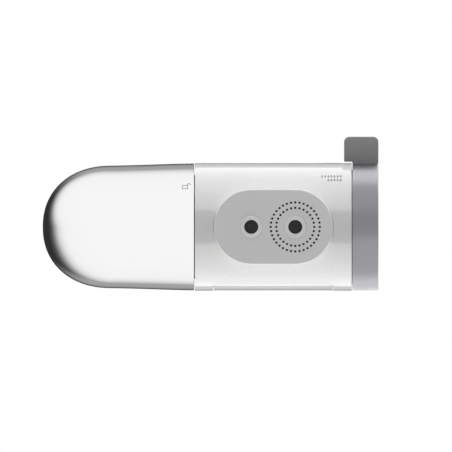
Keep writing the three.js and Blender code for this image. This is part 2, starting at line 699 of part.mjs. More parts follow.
/** A hollow stadium whose face has a rounded edge, with a flange that seats inside the body. */
function outletPlate() {
  const face = new THREE.ExtrudeGeometry(stadium(PLATE_RADIUS), {
    depth: PLATE_WALL - PLATE_EDGE,
    bevelThickness: PLATE_EDGE,
    bevelSize: PLATE_EDGE,
    bevelOffset: -PLATE_EDGE,
    bevelSegments: 2,
    curveSegments: 10,
  }).translate(0, 0, -PLATE_FACE + PLATE_EDGE);
  const walls = alongZ(stadium(PLATE_RADIUS), -PLATE_FACE + 1.5 * PLATE_EDGE, -PLATE_BACK, 10);
  const flange = common(
    alongZ(stadium(PLATE_RADIUS + PLATE_FLANGE_OVERHANG), -BODY_RADIUS, -PLATE_BACK, 10),
    barX(
      BULKHEAD_BACK + CLEARANCE,
      BODY_HALF - SKIRT_DEPTH - CLEARANCE,
      BODY_BORE - CLEARANCE,
      FINE,
    ),
  );
  const shell = cut(
    join(face, walls, flange),
    alongZ(stadium(PLATE_RADIUS - PLATE_WALL), -PLATE_FACE + PLATE_WALL, 0, 10),
  );
  const root = -PLATE_FACE + PLATE_WALL - LAP;
  const solid = join(
    shell,
    barZ(root, -PLATE_BACK, SOCKET_RADIUS, ROUND, -OUTLET_X),
    barZ(root, -PLATE_BACK, SOCKET_RADIUS, ROUND, OUTLET_X),
    tubeZ(root, -PLATE_BACK, SPRAY_CHAMBER_RADIUS, SPRAY_CUP_RADIUS, ROUND, OUTLET_X),
  );
  const tools = [];
  for (const x of [-OUTLET_X, OUTLET_X]) {
    tools.push(barZ(-CUT_REACH, 0, NOZZLE_HOLE, ROUND, x));
    tools.push(barZ(
      -CUT_REACH,
      -PLATE_FACE + NOZZLE_HEAD_SUNK + CLEARANCE,
      NOZZLE_HEAD_RADIUS + CLEARANCE,
      ROUND,
      x,
    ));
  }
  for (const { radius, count } of SPRAY_ROWS) {
    for (let i = 0; i < count; i += 1) {
      const [x, y] = onCircle(radius, i * 360 / count);
      tools.push(barZ(
        -PLATE_FACE - PAST,
        -PLATE_FACE + PLATE_WALL + PAST,
        SPRAY_HOLE_RADIUS,
        SPRAY_SIDES,
        OUTLET_X + x,
        y,
      ));
    }
  }
  return cut(solid, ...tools);
}

/** The nozzle's own axis is Z through its outlet, with the body's axis at height 0. */
function nozzle() {
  const face = -PLATE_FACE - NOZZLE_HEAD_PROUD;
  const shoulder = -PLATE_FACE + NOZZLE_HEAD_SUNK;
  const back = face + NOZZLE_LENGTH;
  return aboutZ([
    [face, NOZZLE_BORE],
    [face, NOZZLE_HEAD_RADIUS - NOZZLE_EDGE],
    [face + NOZZLE_EDGE, NOZZLE_HEAD_RADIUS],
    [shoulder, NOZZLE_HEAD_RADIUS],
    [shoulder, NOZZLE_SHANK_RADIUS],
    [back, NOZZLE_SHANK_RADIUS],
    [back, SCREEN_RADIUS + CLEARANCE],
    [face + NOZZLE_LIP, SCREEN_RADIUS + CLEARANCE],
    [face + NOZZLE_LIP, NOZZLE_BORE],
  ], ROUND);
}

function screen() {
  const bottom = -PLATE_FACE - NOZZLE_HEAD_PROUD + NOZZLE_LIP + CLEARANCE;
  const top = bottom + SCREEN_THICKNESS;
  return cut(
    barZ(bottom, top, SCREEN_RADIUS, ROUND),
    ...gridHoles(SCREEN_RADIUS - SCREEN_RIM, SCREEN_PITCH, SCREEN_HOLE, bottom - PAST, top + PAST),
  );
}

/** A flat ring between the plate's back and the rim of a socket. */
function flatGasket(inner, outer) {
  const bottom = -PLATE_BACK + CLEARANCE;
  return tubeZ(bottom, bottom + GASKET_THICKNESS, inner, outer - GASKET_INSET, ROUND);
}

addPart('outlet_plate', outletPlate(), PLATE_WHITE);
for (const [name, x] of [['filtered', -OUTLET_X], ['straight', OUTLET_X]]) {
  const outlet = new THREE.Group();
  outlet.position.x = x;
  addPart(`${name}_nozzle`, nozzle(), NOZZLE_WHITE, outlet);
  addPart(`${name}_screen`, screen(), BLACK_MESH, outlet);
  addPart(`${name}_gasket`, flatGasket(NOZZLE_HOLE, SOCKET_RADIUS), SEAL_BLACK, outlet);
  bodies.add(outlet);
}
addPart('spray_gasket', flatGasket(SPRAY_CHAMBER_RADIUS, SPRAY_CUP_RADIUS), SEAL_BLACK)
  .position.x = OUTLET_X;

// ---------- inlet and tap nut

const STRAINER_RECESS = STRAINER_THICKNESS + 2 * CLEARANCE;

function inletCollar() {
  const bottom = INLET_SOCKET_FLOOR + INLET_SEAL_THICKNESS + 2 * CLEARANCE;
  return aboutZ([
    [bottom, INLET_BORE],
    [bottom, INLET_SHANK_RADIUS],
    [INLET_FLANGE_Z, INLET_SHANK_RADIUS],
    [INLET_FLANGE_Z, INLET_FLANGE_RADIUS],
    [INLET_TOP, INLET_FLANGE_RADIUS],
    [INLET_TOP, STRAINER_RADIUS + CLEARANCE],
    [INLET_TOP - STRAINER_RECESS, STRAINER_RADIUS + CLEARANCE],
    [INLET_TOP - STRAINER_RECESS, INLET_BORE],
  ], ROUND);
}

function inletStrainer() {
  const bottom = INLET_TOP - STRAINER_RECESS + CLEARANCE;
  const top = bottom + STRAINER_THICKNESS;
  return cut(
    barZ(bottom, top, STRAINER_RADIUS, ROUND),
    ...gridHoles(INLET_BORE, STRAINER_PITCH, STRAINER_HOLE, bottom - PAST, top + PAST),
  );
}

/** The grip's outline: shallow round ribs all the way round. */
function nutOutline() {
  const shape = new THREE.Shape();
  for (let i = 0; i < NUT_RIBS * NUT_RIB_STEPS; i += 1) {
    const angle = 360 * i / (NUT_RIBS * NUT_RIB_STEPS);
    const wave = Math.cos(THREE.MathUtils.degToRad(angle * NUT_RIBS));
    const [x, y] = onCircle(NUT_RADIUS - NUT_RIB_HEIGHT * (1 - wave) / 2, angle);
    if (i === 0) {
      shape.moveTo(x, y);
    } else {
      shape.lineTo(x, y);
    }
  }
  shape.closePath();
  return shape;
}

function tapNut() {
  return cut(
    alongZ(nutOutline(), NUT_BOTTOM, NUT_BOTTOM + NUT_HEIGHT),
    barZ(NUT_BOTTOM - PAST, NUT_BOTTOM + NUT_HEIGHT + PAST, INLET_SHANK_RADIUS + TURNING_CLEARANCE, ROUND),
    barZ(NUT_BOTTOM + NUT_LIP, NUT_BOTTOM + NUT_HEIGHT + PAST, NUT_BORE, ROUND),
  );
}

addPart('inlet_collar', inletCollar(), WHITE_SATIN);
addPart('inlet_seal', tubeZ(
  INLET_SOCKET_FLOOR + CLEARANCE,
  INLET_SOCKET_FLOOR + CLEARANCE + INLET_SEAL_THICKNESS,
  INLET_BORE,
  INLET_SHANK_RADIUS,
  ROUND,
), SEAL_BLACK);
addPart('inlet_strainer', inletStrainer(), STEEL);
addPart('tap_washer', tubeZ(
  INLET_TOP + CLEARANCE,
  INLET_TOP + CLEARANCE + WASHER_THICKNESS,
  WASHER_INNER,
  WASHER_OUTER,
  ROUND,
), SEAL_BLACK);
addPart('tap_nut', tapNut(), WHITE_SATIN);

// ---------- valve discs, stem and bonnet

function fixedDisc() {
  const start = FIXED_DISC_X;
  const end = FIXED_DISC_X + DISC_THICKNESS;
  const ports = [STRAIGHT_PORT, SPRAY_PORT, FEED_PORT].map((port) =>
    barX(start - PAST, end + PAST, PORT_RADIUS, SMALL, ...port));
  return cut(
    barX(start, end, DISC_CHAMBER_RADIUS - CLEARANCE, ROUND),
    ...ports,
    barX(start - PAST, end + PAST, INLET_PORT.radius, SMALL, INLET_PORT.y, INLET_PORT.z),
  );
}

function movingDisc() {
  const start = MOVING_DISC_X;
  const end = MOVING_DISC_X + DISC_THICKNESS;
  const floor = start + DISC_POCKET.depth;
  const pocket = PORT_CIRCLE - PORT_RADIUS - DISC_POCKET.margin;
  const halfWidth = TANG.width / 2 + CLEARANCE;
  const halfThickness = TANG.thickness / 2 + CLEARANCE;
  const slots = [-1, 1].map((side) => box(
    [end - TANG.length - CLEARANCE, -halfWidth, side * TANG.radius - halfThickness],
    [end + PAST, halfWidth, side * TANG.radius + halfThickness],
  ));
  return cut(
    barX(start, end, DISC_CHAMBER_RADIUS - 2 * CLEARANCE, ROUND),
    barX(start - PAST, floor, pocket, ROUND),
    barX(start - PAST, floor, PORT_RADIUS, SMALL, ...STRAIGHT_PORT),
    box([start - PAST, STRAIGHT_PORT[0], -PORT_RADIUS], [floor, 0, PORT_RADIUS]),
    ...slots,
  );
}

function valveStem() {
  const outline = [
    [STEM_FLANGE_X, 0],
    [STEM_FLANGE_X, STEM_FLANGE_RADIUS],
    [STEM_FLANGE_X + STEM_FLANGE_THICKNESS, STEM_FLANGE_RADIUS],
    [STEM_FLANGE_X + STEM_FLANGE_THICKNESS, STEM_RADIUS],
  ];
  for (const distance of STEM_GROOVES) {
    const left = BONNET_X + distance - STEM_GROOVE_WIDTH / 2;
    const right = left + STEM_GROOVE_WIDTH;
    outline.push([left, STEM_RADIUS]);
    outline.push([left, STEM_RADIUS - STEM_GROOVE_DEPTH]);
    outline.push([right, STEM_RADIUS - STEM_GROOVE_DEPTH]);
    outline.push([right, STEM_RADIUS]);
  }
  outline.push([STEM_END, STEM_RADIUS]);
  outline.push([STEM_END, 0]);
  const tangs = [-1, 1].map((side) => box(
    [STEM_FLANGE_X - DISC_PLAY - TANG.length, -TANG.width / 2, side * TANG.radius - TANG.thickness / 2],
    [STEM_FLANGE_X + LAP, TANG.width / 2, side * TANG.radius + TANG.thickness / 2],
  ));
  return cut(
    join(aboutX(outline, ROUND), ...tangs),
    box(
      [SELECTOR_HUB_START - CLEARANCE, -STEM_RADIUS, STEM_FLAT],
      [STEM_END + PAST, STEM_RADIUS, STEM_RADIUS + PAST],
    ),
    barX(STEM_END - SCREW_LENGTH, STEM_END + PAST, SCREW_RADIUS + CLEARANCE, SMALL),
  );
}

function bonnet() {
  const back = BONNET_X - BONNET_SPIGOT;
  const plate = aboutX([
    [back, STEM_BORE],
    [back, DISC_CHAMBER_RADIUS - TURNING_CLEARANCE],
    [BONNET_X, DISC_CHAMBER_RADIUS - TURNING_CLEARANCE],
    [BONNET_X, BARREL_FLANGE_RADIUS],
    [BONNET_X + BONNET_THICKNESS, BARREL_FLANGE_RADIUS],
    [BONNET_X + BONNET_THICKNESS, BONNET_HUB_RADIUS],
    [BONNET_X + BONNET_THICKNESS + BONNET_HUB_LENGTH, BONNET_HUB_RADIUS],
    [BONNET_X + BONNET_THICKNESS + BONNET_HUB_LENGTH, STEM_BORE],
  ], ROUND);
  const holes = SCREW_ANGLES.map((angle) => barX(
    BONNET_X - PAST,
    BONNET_X + BONNET_THICKNESS + PAST,
    SCREW_RADIUS + CLEARANCE,
    SMALL,
    ...onCircle(SCREW_CIRCLE, angle),
  ));
  return cut(plate, ...holes);
}

/** A pan-head screw along -X, its head's seat at x = 0. */
function screw(length) {
  const head = aboutX([
    [-length, 0],
    [-length, SCREW_RADIUS],
    [CLEARANCE, SCREW_RADIUS],
    [CLEARANCE, SCREW_HEAD_RADIUS],
    [SCREW_HEAD_HEIGHT * SCREW_HEAD_CROWN.height, SCREW_HEAD_RADIUS],
    [SCREW_HEAD_HEIGHT, SCREW_HEAD_RADIUS * SCREW_HEAD_CROWN.radius],
    [SCREW_HEAD_HEIGHT, 0],
  ], SMALL);
  const half = SCREW_DRIVE.length / 2;
  const side = SCREW_DRIVE.width / 2;
  const floor = SCREW_HEAD_HEIGHT - SCREW_DRIVE.depth;
  return cut(
    head,
    box([floor, -half, -side], [SCREW_HEAD_HEIGHT + PAST, half, side]),
    box([floor, -side, -half], [SCREW_HEAD_HEIGHT + PAST, side, half]),
  );
}

addPart('fixed_disc', fixedDisc(), CERAMIC);
addPart('moving_disc', movingDisc(), CERAMIC);
addPart('valve_stem', valveStem(), STEEL);
addPart('bonnet', bonnet(), WHITE_SATIN);
addPart('bonnet_gasket', tubeX(
  BARREL_END + CLEARANCE,
  BARREL_END + CLEARANCE + FACE_GASKET_THICKNESS,
  DISC_CHAMBER_RADIUS,
  SCREW_CIRCLE - SCREW_RADIUS - CLEARANCE,
  ROUND,
), SEAL_BLACK);
SCREW_ANGLES.forEach((angle, i) => {
  const piece = addPart(`bonnet_screw_${i + 1}`, screw(SCREW_LENGTH), STEEL);
  piece.position.set(BONNET_X + BONNET_THICKNESS, ...onCircle(SCREW_CIRCLE, angle));
});
STEM_GROOVES.forEach((distance, i) => {
  const radius = STEM_RADIUS - STEM_GROOVE_DEPTH + CLEARANCE + STEM_SEAL_SECTION;
  const seal = ringX(BONNET_X + distance, radius, STEM_SEAL_SECTION, ROUND, SEAL_SIDES);
  addPart(`stem_seal_${i + 1}`, seal, SEAL_BLACK);
});

// ---------- selector

const SELECTOR_SCREW_SEAT = WEB_RIGHT - SCREW_HEAD_HEIGHT - CLEARANCE;

function selectorRing() {
  const capRecess = BODY_RADIUS - SELECTOR_WALL;
  const skirtOuter = BODY_BORE - TURNING_CLEARANCE;
  const skirtInner = skirtOuter - SKIRT_WALL;
  const hubBore = STEM_RADIUS + CLEARANCE;
  const ring = aboutX([
    [SELECTOR_HUB_START, hubBore],
    [SELECTOR_HUB_START, SELECTOR_HUB_RADIUS],
    [WEB_LEFT, SELECTOR_HUB_RADIUS],
    [WEB_LEFT, skirtInner],
    [BODY_HALF - SKIRT_DEPTH, skirtInner],
    [BODY_HALF - SKIRT_DEPTH, skirtOuter],
    [SELECTOR_START, skirtOuter],
    [SELECTOR_START, BODY_RADIUS],
    [SELECTOR_END - SELECTOR_EDGE, BODY_RADIUS],
    [SELECTOR_END, BODY_RADIUS - SELECTOR_EDGE],
    [SELECTOR_END, capRecess],
    [WEB_RIGHT, capRecess],
    [WEB_RIGHT, SCREW_HEAD_RADIUS + CLEARANCE],
    [SELECTOR_SCREW_SEAT, SCREW_HEAD_RADIUS + CLEARANCE],
    [SELECTOR_SCREW_SEAT, SCREW_RADIUS + CLEARANCE],
    [STEM_END + CLEARANCE, SCREW_RADIUS + CLEARANCE],
    [STEM_END + CLEARANCE, hubBore],
  ], FINE);
  const key = common(
    box([SELECTOR_HUB_START, -STEM_RADIUS, STEM_FLAT + CLEARANCE], [STEM_END + PAST, STEM_RADIUS, hubBore]),
    barX(SELECTOR_HUB_START, STEM_END + PAST, hubBore + KEY_LAP, ROUND),
  );
  const tip = BODY_RADIUS + TAB_REACH;
  const middle = SELECTOR_END - TAB_WIDTH / 2;
  const root = BODY_RADIUS - SELECTOR_WALL / 2;
  const outline = new THREE.Shape();
  const left = SELECTOR_END - TAB_WIDTH;
  outline.moveTo(SELECTOR_END, -root);
  outline.lineTo(SELECTOR_START, -root);
  outline.lineTo(SELECTOR_START, -BODY_RADIUS - TAB_LIFT);
  outline.lineTo(left, -BODY_RADIUS - TAB_LIFT);
  outline.absarc(left + TAB_CORNER, -tip + TAB_CORNER, TAB_CORNER, Math.PI, 3 * Math.PI / 2, false);
  outline.absarc(2 * middle - left - TAB_CORNER, -tip + TAB_CORNER, TAB_CORNER, -Math.PI / 2, 0, false);
  outline.closePath();
  const tab = alongZ(outline, -TAB_THICKNESS / 2, TAB_THICKNESS / 2, 8);
  return join(ring, key, tab);
}

addPart('selector_ring', selectorRing(), ANODISED_GREY);
addPart('selector_cap', aboutX([
  [WEB_RIGHT + CLEARANCE, 0],
  [WEB_RIGHT + CLEARANCE, BODY_RADIUS - SELECTOR_WALL - CLEARANCE],
  [WEB_RIGHT + CLEARANCE + END_CAP_THICKNESS - END_CAP_EDGE, BODY_RADIUS - SELECTOR_WALL - CLEARANCE],
  [WEB_RIGHT + CLEARANCE + END_CAP_THICKNESS, BODY_RADIUS - SELECTOR_WALL - CLEARANCE - END_CAP_EDGE],
  [WEB_RIGHT + CLEARANCE + END_CAP_THICKNESS, 0],
], FINE), ANODISED_GREY);
addPart('selector_screw', screw(SCREW_LENGTH), STEEL).position.x = SELECTOR_SCREW_SEAT;

// ---------- filter cover

/** The cover's profile from its tip to its mouth, a given distance inside the outer skin. */
function coverProfile(inset, mouth) {
  const along = NOSE_LENGTH - inset;
  const across = NOSE_RADIUS - inset;
  const power = 2 / NOSE_FULLNESS;
  const points = [];
  for (let i = 0; i <= NOSE_STEPS; i += 1) {
    const turn = Math.PI / 2 * i / NOSE_STEPS;
    const radius = i === 0 ? 0 : across * Math.sin(turn) ** power;
    const back = i === NOSE_STEPS ? 0 : along * Math.cos(turn) ** power;
    points.push([COVER_TIP + NOSE_LENGTH - back, radius]);
  }
  points.push([mouth, COVER_MOUTH_RADIUS - inset]);
  return points;
}

function coverShell() {
  return aboutX([
    ...coverProfile(0, COVER_MOUTH),
    ...coverProfile(SKIN_WALL, COVER_MOUTH).reverse(),
  ], FINE);
}

function coverLiner() {
  const bore = COVER_MOUTH_RADIUS - LINER_BORE_INSET;
  const liner = aboutX([
    ...coverProfile(LINER_INSET, LINER_MOUTH),
    ...coverProfile(LINER_BORE_INSET, LINER_MOUTH).reverse(),
  ], FINE);
  const lugs = [];
  for (let i = 0; i < LUG_COUNT; i += 1) {
    lugs.push(alongX(
      ringSector(COLLAR_RADIUS + CLEARANCE, bore + LAP, (i + 0.5) * 360 / LUG_COUNT, LINER_LUG_SPAN),
      LINER_LUG_LEFT,
      LINER_LUG_LEFT + LUG_THICKNESS,
    ));
  }
  return join(liner, ...lugs);
}

addPart(
  'cover_seal',
  ringX(COVER_SEAL_X, COVER_SEAL_RADIUS, COVER_SEAL_SECTION, FINE, SEAL_SIDES),
  SEAL_BLACK,
);
addPart('cover_liner', coverLiner(), LINER_GREY);
addPart('cover_shell', coverShell(), POLISHED_STEEL);

// ---------- filter cartridge

const SPIGOT_SEAL_X = HEAD_FACE + SPIGOT_REACH - SPIGOT_GROOVE_WIDTH;

function cartridgeHead() {
  const lip = CLEARANCE + FLEECE_WALL;
  const body = aboutX([
    [HEAD_FACE - CARTRIDGE_HEAD, SPIGOT_BORE],
    [HEAD_FACE - CARTRIDGE_HEAD, CARTRIDGE_RADIUS],
    [HEAD_FACE - lip / 2, CARTRIDGE_RADIUS],
    [HEAD_FACE, CARTRIDGE_RADIUS - lip / 2],
    [HEAD_FACE, SPIGOT_RADIUS],
    [SPIGOT_SEAL_X - SPIGOT_GROOVE_WIDTH / 2, SPIGOT_RADIUS],
    [SPIGOT_SEAL_X - SPIGOT_GROOVE_WIDTH / 2, SPIGOT_RADIUS - SPIGOT_GROOVE_DEPTH],
    [SPIGOT_SEAL_X + SPIGOT_GROOVE_WIDTH / 2, SPIGOT_RADIUS - SPIGOT_GROOVE_DEPTH],
    [SPIGOT_SEAL_X + SPIGOT_GROOVE_WIDTH / 2, SPIGOT_RADIUS],
    [HEAD_FACE + SPIGOT_REACH, SPIGOT_RADIUS],
    [HEAD_FACE + SPIGOT_REACH, SPIGOT_BORE],
  ], ROUND);
  const notches = [];
  for (let i = 0; i < HEAD_NOTCHES; i += 1) {
    notches.push(barX(
      HEAD_FACE - CARTRIDGE_HEAD - PAST,
      HEAD_FACE + PAST,
      HEAD_NOTCH_RADIUS,
      SMALL,
      ...onCircle(CARTRIDGE_RADIUS + HEAD_NOTCH_RADIUS / 2, (i + 0.5) * 360 / HEAD_NOTCHES),
    ));
  }
  return cut(body, ...notches);
}

function coreTube() {
  const slots = [];
  const pitch = CARTRIDGE_MEDIA / CORE_SLOT.rows;
  for (let row = 0; row < CORE_SLOT.rows; row += 1) {
    const middle = MEDIA_LEFT + (row + 0.5) * pitch;
    for (let i = 0; i < CORE_SLOT.around / 2; i += 1) {
      slots.push(box(
        [middle - CORE_SLOT.length / 2, -CORE_OUTER - PAST, -CORE_SLOT.width / 2],
        [middle + CORE_SLOT.length / 2, CORE_OUTER + PAST, CORE_SLOT.width / 2],
      ).rotateX(i * 2 * Math.PI / CORE_SLOT.around));
    }
  }
  return cut(tubeX(MEDIA_LEFT, MEDIA_RIGHT, CORE_INNER, CORE_OUTER, ROUND), ...slots);
}

function cartridgeCap() {
  const left = CAP_RIGHT - CARTRIDGE_CAP;
  const shoulder = CARTRIDGE_CAP / 3;
  return aboutX([
    [CAP_RIGHT, 0],
    [CAP_RIGHT, CARTRIDGE_RADIUS],
    [CAP_RIGHT - shoulder, CARTRIDGE_RADIUS],
    [CAP_RIGHT - 2 * shoulder, CARTRIDGE_RADIUS - (CARTRIDGE_RADIUS - CAP_NOSE_RADIUS) / 3],
    [left, CAP_NOSE_RADIUS],
    [left, 0],
  ], ROUND);
}

addPart('cartridge_head', cartridgeHead(), WHITE_SATIN);
addPart('spigot_seal', ringX(
  SPIGOT_SEAL_X,
  SPIGOT_RADIUS - SPIGOT_GROOVE_DEPTH + CLEARANCE + SPIGOT_SEAL_SECTION,
  SPIGOT_SEAL_SECTION,
  ROUND,
  SEAL_SIDES,
), SEAL_BLACK);
addPart('fleece_wrap', tubeX(
  MEDIA_LEFT,
  MEDIA_RIGHT,
  CARTRIDGE_RADIUS - FLEECE_WALL,
  CARTRIDGE_RADIUS,
  ROUND,
), FLEECE);
addPart('carbon_block', tubeX(
  MEDIA_LEFT,
  MEDIA_RIGHT,
  CARBON_INNER,
  CARTRIDGE_RADIUS - FLEECE_WALL - CLEARANCE,
  ROUND,
), CARBON);
addPart('core_tube', coreTube(), WHITE_SATIN);
addPart('cartridge_cap', cartridgeCap(), WHITE_SATIN);

// ---------- the whole filter

bodies.position.z = -AXIS_DROP;

const filter = new THREE.Group();
filter.add(bodies);

export default filter;
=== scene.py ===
"""A tap-mounted water filter, seen from below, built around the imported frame."""
import json
import math

import bmesh
import bpy
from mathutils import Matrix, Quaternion, Vector


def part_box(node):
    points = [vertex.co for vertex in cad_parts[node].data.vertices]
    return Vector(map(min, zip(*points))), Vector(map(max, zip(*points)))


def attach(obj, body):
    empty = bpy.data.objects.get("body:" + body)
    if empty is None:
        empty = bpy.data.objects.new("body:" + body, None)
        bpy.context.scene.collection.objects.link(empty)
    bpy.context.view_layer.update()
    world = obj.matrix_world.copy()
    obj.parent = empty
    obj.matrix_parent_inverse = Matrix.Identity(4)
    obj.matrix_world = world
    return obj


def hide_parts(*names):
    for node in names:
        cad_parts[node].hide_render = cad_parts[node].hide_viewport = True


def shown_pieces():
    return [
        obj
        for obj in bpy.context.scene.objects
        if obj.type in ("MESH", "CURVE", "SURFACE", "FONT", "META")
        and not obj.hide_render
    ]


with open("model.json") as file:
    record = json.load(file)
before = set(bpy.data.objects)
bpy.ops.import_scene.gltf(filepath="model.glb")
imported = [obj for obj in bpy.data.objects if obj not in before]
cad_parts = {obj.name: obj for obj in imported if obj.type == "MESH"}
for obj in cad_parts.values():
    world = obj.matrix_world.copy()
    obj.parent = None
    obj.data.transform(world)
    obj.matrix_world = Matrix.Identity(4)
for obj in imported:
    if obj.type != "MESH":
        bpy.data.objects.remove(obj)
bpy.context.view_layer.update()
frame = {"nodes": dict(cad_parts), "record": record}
NODES = frame["nodes"]

# ------------------------------ sizes in millimetres, about the barrel's axis

MM = 0.001


def axis_height():
    low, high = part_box("cover_shell")
    return (low.z + high.z) / 2 / MM


AXIS_Z = axis_height()


def span(node):
    """The node's lowest and highest corners in millimetres, with the barrel's axis at height 0."""
    low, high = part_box(node)
    return (
        (low.x / MM, low.y / MM, low.z / MM - AXIS_Z),
        (high.x / MM, high.y / MM, high.z / MM - AXIS_Z),
    )


def middle(node, axis):
    """The node's middle along an axis, 0 for X to 2 for Z."""
    low, high = span(node)
    return (low[axis] + high[axis]) / 2


ROUND_STEPS = 192
OUTSIDE = 50  # where a cutting tool ends, past every surface of the body
BODY_LOW, BODY_HIGH = span("body_shell")
BODY_LEFT, BODY_RIGHT = BODY_LOW[0], BODY_HIGH[0]
BODY_RADIUS = BODY_HIGH[1]
BODY_WALL = 2.6
BODY_BORE = BODY_RADIUS - BODY_WALL
PLATE_FACE = -span("outlet_plate")[0][2]
PLATE_RADIUS = 18.6
PLATE_BACK = 19.6
OUTLET_X = middle("straight_nozzle", 0)
SPRAY_ROWS = ((9.25, 28), (11.93, 36))  # radius and number of holes

# ------------------------------ mesh building


def make(name, points, faces, smooth=32):
    """A mesh object from points in millimetres, smooth-shaded up to the given angle between faces."""
    mesh = bpy.data.meshes.new(name)
    mesh.from_pydata([(x * MM, y * MM, (z + AXIS_Z) * MM) for x, y, z in points], [], faces)
    work = bmesh.new()
    work.from_mesh(mesh)
    bmesh.ops.remove_doubles(work, verts=work.verts, dist=1e-7)
    bmesh.ops.recalc_face_normals(work, faces=work.faces)
    work.to_mesh(mesh)
    work.free()
    piece = bpy.data.objects.new(name, mesh)
    bpy.context.scene.collection.objects.link(piece)
    shade(piece, smooth)
    return piece


def shade(piece, angle=32):
    """Smooth shading, with the edges sharper than the angle kept crisp."""
    mesh = piece.data
    mesh.polygons.foreach_set("use_smooth", [True] * len(mesh.polygons))
    work = bmesh.new()
    work.from_mesh(mesh)
    limit = math.radians(angle)
    for edge in work.edges:
        edge.smooth = len(edge.link_faces) == 2 and edge.calc_face_angle(0) < limit
    work.to_mesh(mesh)
    work.free()


def on_axis(axis, along, across, angle):
    """A point at a distance along X, Y or Z and a distance from it, at an angle."""
    a, b = across * math.cos(angle), across * math.sin(angle)
    return {"X": (along, a, b), "Y": (b, along, a), "Z": (a, b, along)}[axis]


def lathe(name, outline, axis="X", steps=ROUND_STEPS, centre=(0, 0, 0), smooth=32, loop=False):
    """A solid of revolution from (along, radius) points. A loop closes on itself, a line ends on the axis."""
    points, rings = [], []
    for along, radius in outline:
        count = 1 if radius < 1e-6 else steps
        rings.append(list(range(len(points), len(points) + count)))
        for i in range(count):
            p = on_axis(axis, along, radius, math.tau * i / steps)
            points.append(tuple(p[k] + centre[k] for k in range(3)))
    faces = []
    pairs = list(zip(rings, rings[1:])) + ([(rings[-1], rings[0])] if loop else [])
    for one, two in pairs:
        for i in range(steps):
            j = (i + 1) % steps
            corners = [one[i % len(one)], one[j % len(one)], two[j % len(two)], two[i % len(two)]]
            corners = list(dict.fromkeys(corners))
            if len(corners) > 2:
                faces.append(corners)
    return make(name, points, faces, smooth)


def arc(centre, radius, start, end, steps=5):
    """Points of an arc in an outline, angles in degrees."""
    angles = [math.radians(start + (end - start) * i / steps) for i in range(steps + 1)]
    return [(centre[0] + radius * math.cos(a), centre[1] + radius * math.sin(a)) for a in angles]


def prism(name, outline, low, high, axis="Z", smooth=32):
    """An outline extruded along an axis. Its two coordinates are the axes that follow in turn."""
    place = {
        "X": lambda a, b, h: (h, a, b),
        "Y": lambda a, b, h: (b, h, a),
        "Z": lambda a, b, h: (a, b, h),
    }[axis]
    count = len(outline)
    points = [place(a, b, h) for h in (low, high) for a, b in outline]
    faces = [list(range(count)), list(range(2 * count - 1, count - 1, -1))]
    faces += [[i, (i + 1) % count, count + (i + 1) % count, count + i] for i in range(count)]
    return make(name, points, faces, smooth)


def stadium(radius, steps=48):
    """The outline of a strip with round ends, one round each outlet."""
    half = [(OUTLET_X + radius * math.cos(a), radius * math.sin(a))
            for a in (math.pi * (i / steps - 0.5) for i in range(steps + 1))]
    return half + [(-x, -y) for x, y in half]


def rounded(width, height, corner, steps=8):
    """The outline of a rectangle with round corners."""
    points = []
    for turn, (sx, sy) in enumerate(((1, 1), (-1, 1), (-1, -1), (1, -1))):
        centre = (sx * (width / 2 - corner), sy * (height / 2 - corner))
        points += arc(centre, corner, 90 * turn, 90 * turn + 90, steps)
    return points


def joined(name, pieces):
    """One object with the meshes of several."""
    work = bmesh.new()
    for piece in pieces:
        work.from_mesh(piece.data)
        bpy.data.objects.remove(piece)
    mesh = bpy.data.meshes.new(name)
    work.to_mesh(mesh)
    work.free()
    whole = bpy.data.objects.new(name, mesh)
    bpy.context.scene.collection.objects.link(whole)
    return whole


def combine(piece, tool, operation="DIFFERENCE", smooth=32):
    """Cuts, joins or intersects the piece with the tool, which is used up."""
    change = piece.modifiers.new("combine", "BOOLEAN")
    change.operation, change.solver, change.object = operation, "EXACT", tool
    bake(piece)
    bpy.data.objects.remove(tool)
    shade(piece, smooth)
    return piece


def bake(piece):
    """Puts what the piece's modifiers make into its mesh."""
    bpy.context.view_layer.update()
    graph = bpy.context.evaluated_depsgraph_get()
    mesh = bpy.data.meshes.new_from_object(piece.evaluated_get(graph), depsgraph=graph)
    piece.modifiers.clear()
    piece.data = mesh


def soften(piece, width, steps=3, angle=40, smooth=32):
    """Rounds the edges that are sharper than the angle."""
    change = piece.modifiers.new("round", "BEVEL")
    change.width, change.segments, change.limit_method = width * MM, steps, "ANGLE"
    change.angle_limit = math.radians(angle)
    change.harden_normals = False
    bake(piece)
    shade(piece, smooth)
    return piece


def strand(points, radius, sides=6):
    """Points and faces of a round wire through the given points, closed at both ends."""
    places, faces = [], []
    last = len(points) - 1
    for i, point in enumerate(points):
        here = Vector(point)
        ahead = (Vector(points[min(i + 1, last)]) - Vector(points[max(i - 1, 0)])).normalized()
        side = ahead.cross(Vector((0, 0, 1))).normalized()
        up = side.cross(ahead)
        for k in range(sides):
            a = math.tau * k / sides
            places.append(tuple(here + radius * (math.cos(a) * side + math.sin(a) * up)))
    for i in range(last):
        for k in range(sides):
            m = (k + 1) % sides
            faces.append([i * sides + k, i * sides + m, (i + 1) * sides + m, (i + 1) * sides + k])
    faces.append(list(range(sides)))
    faces.append([last * sides + k for k in range(sides)][::-1])
    return places, faces


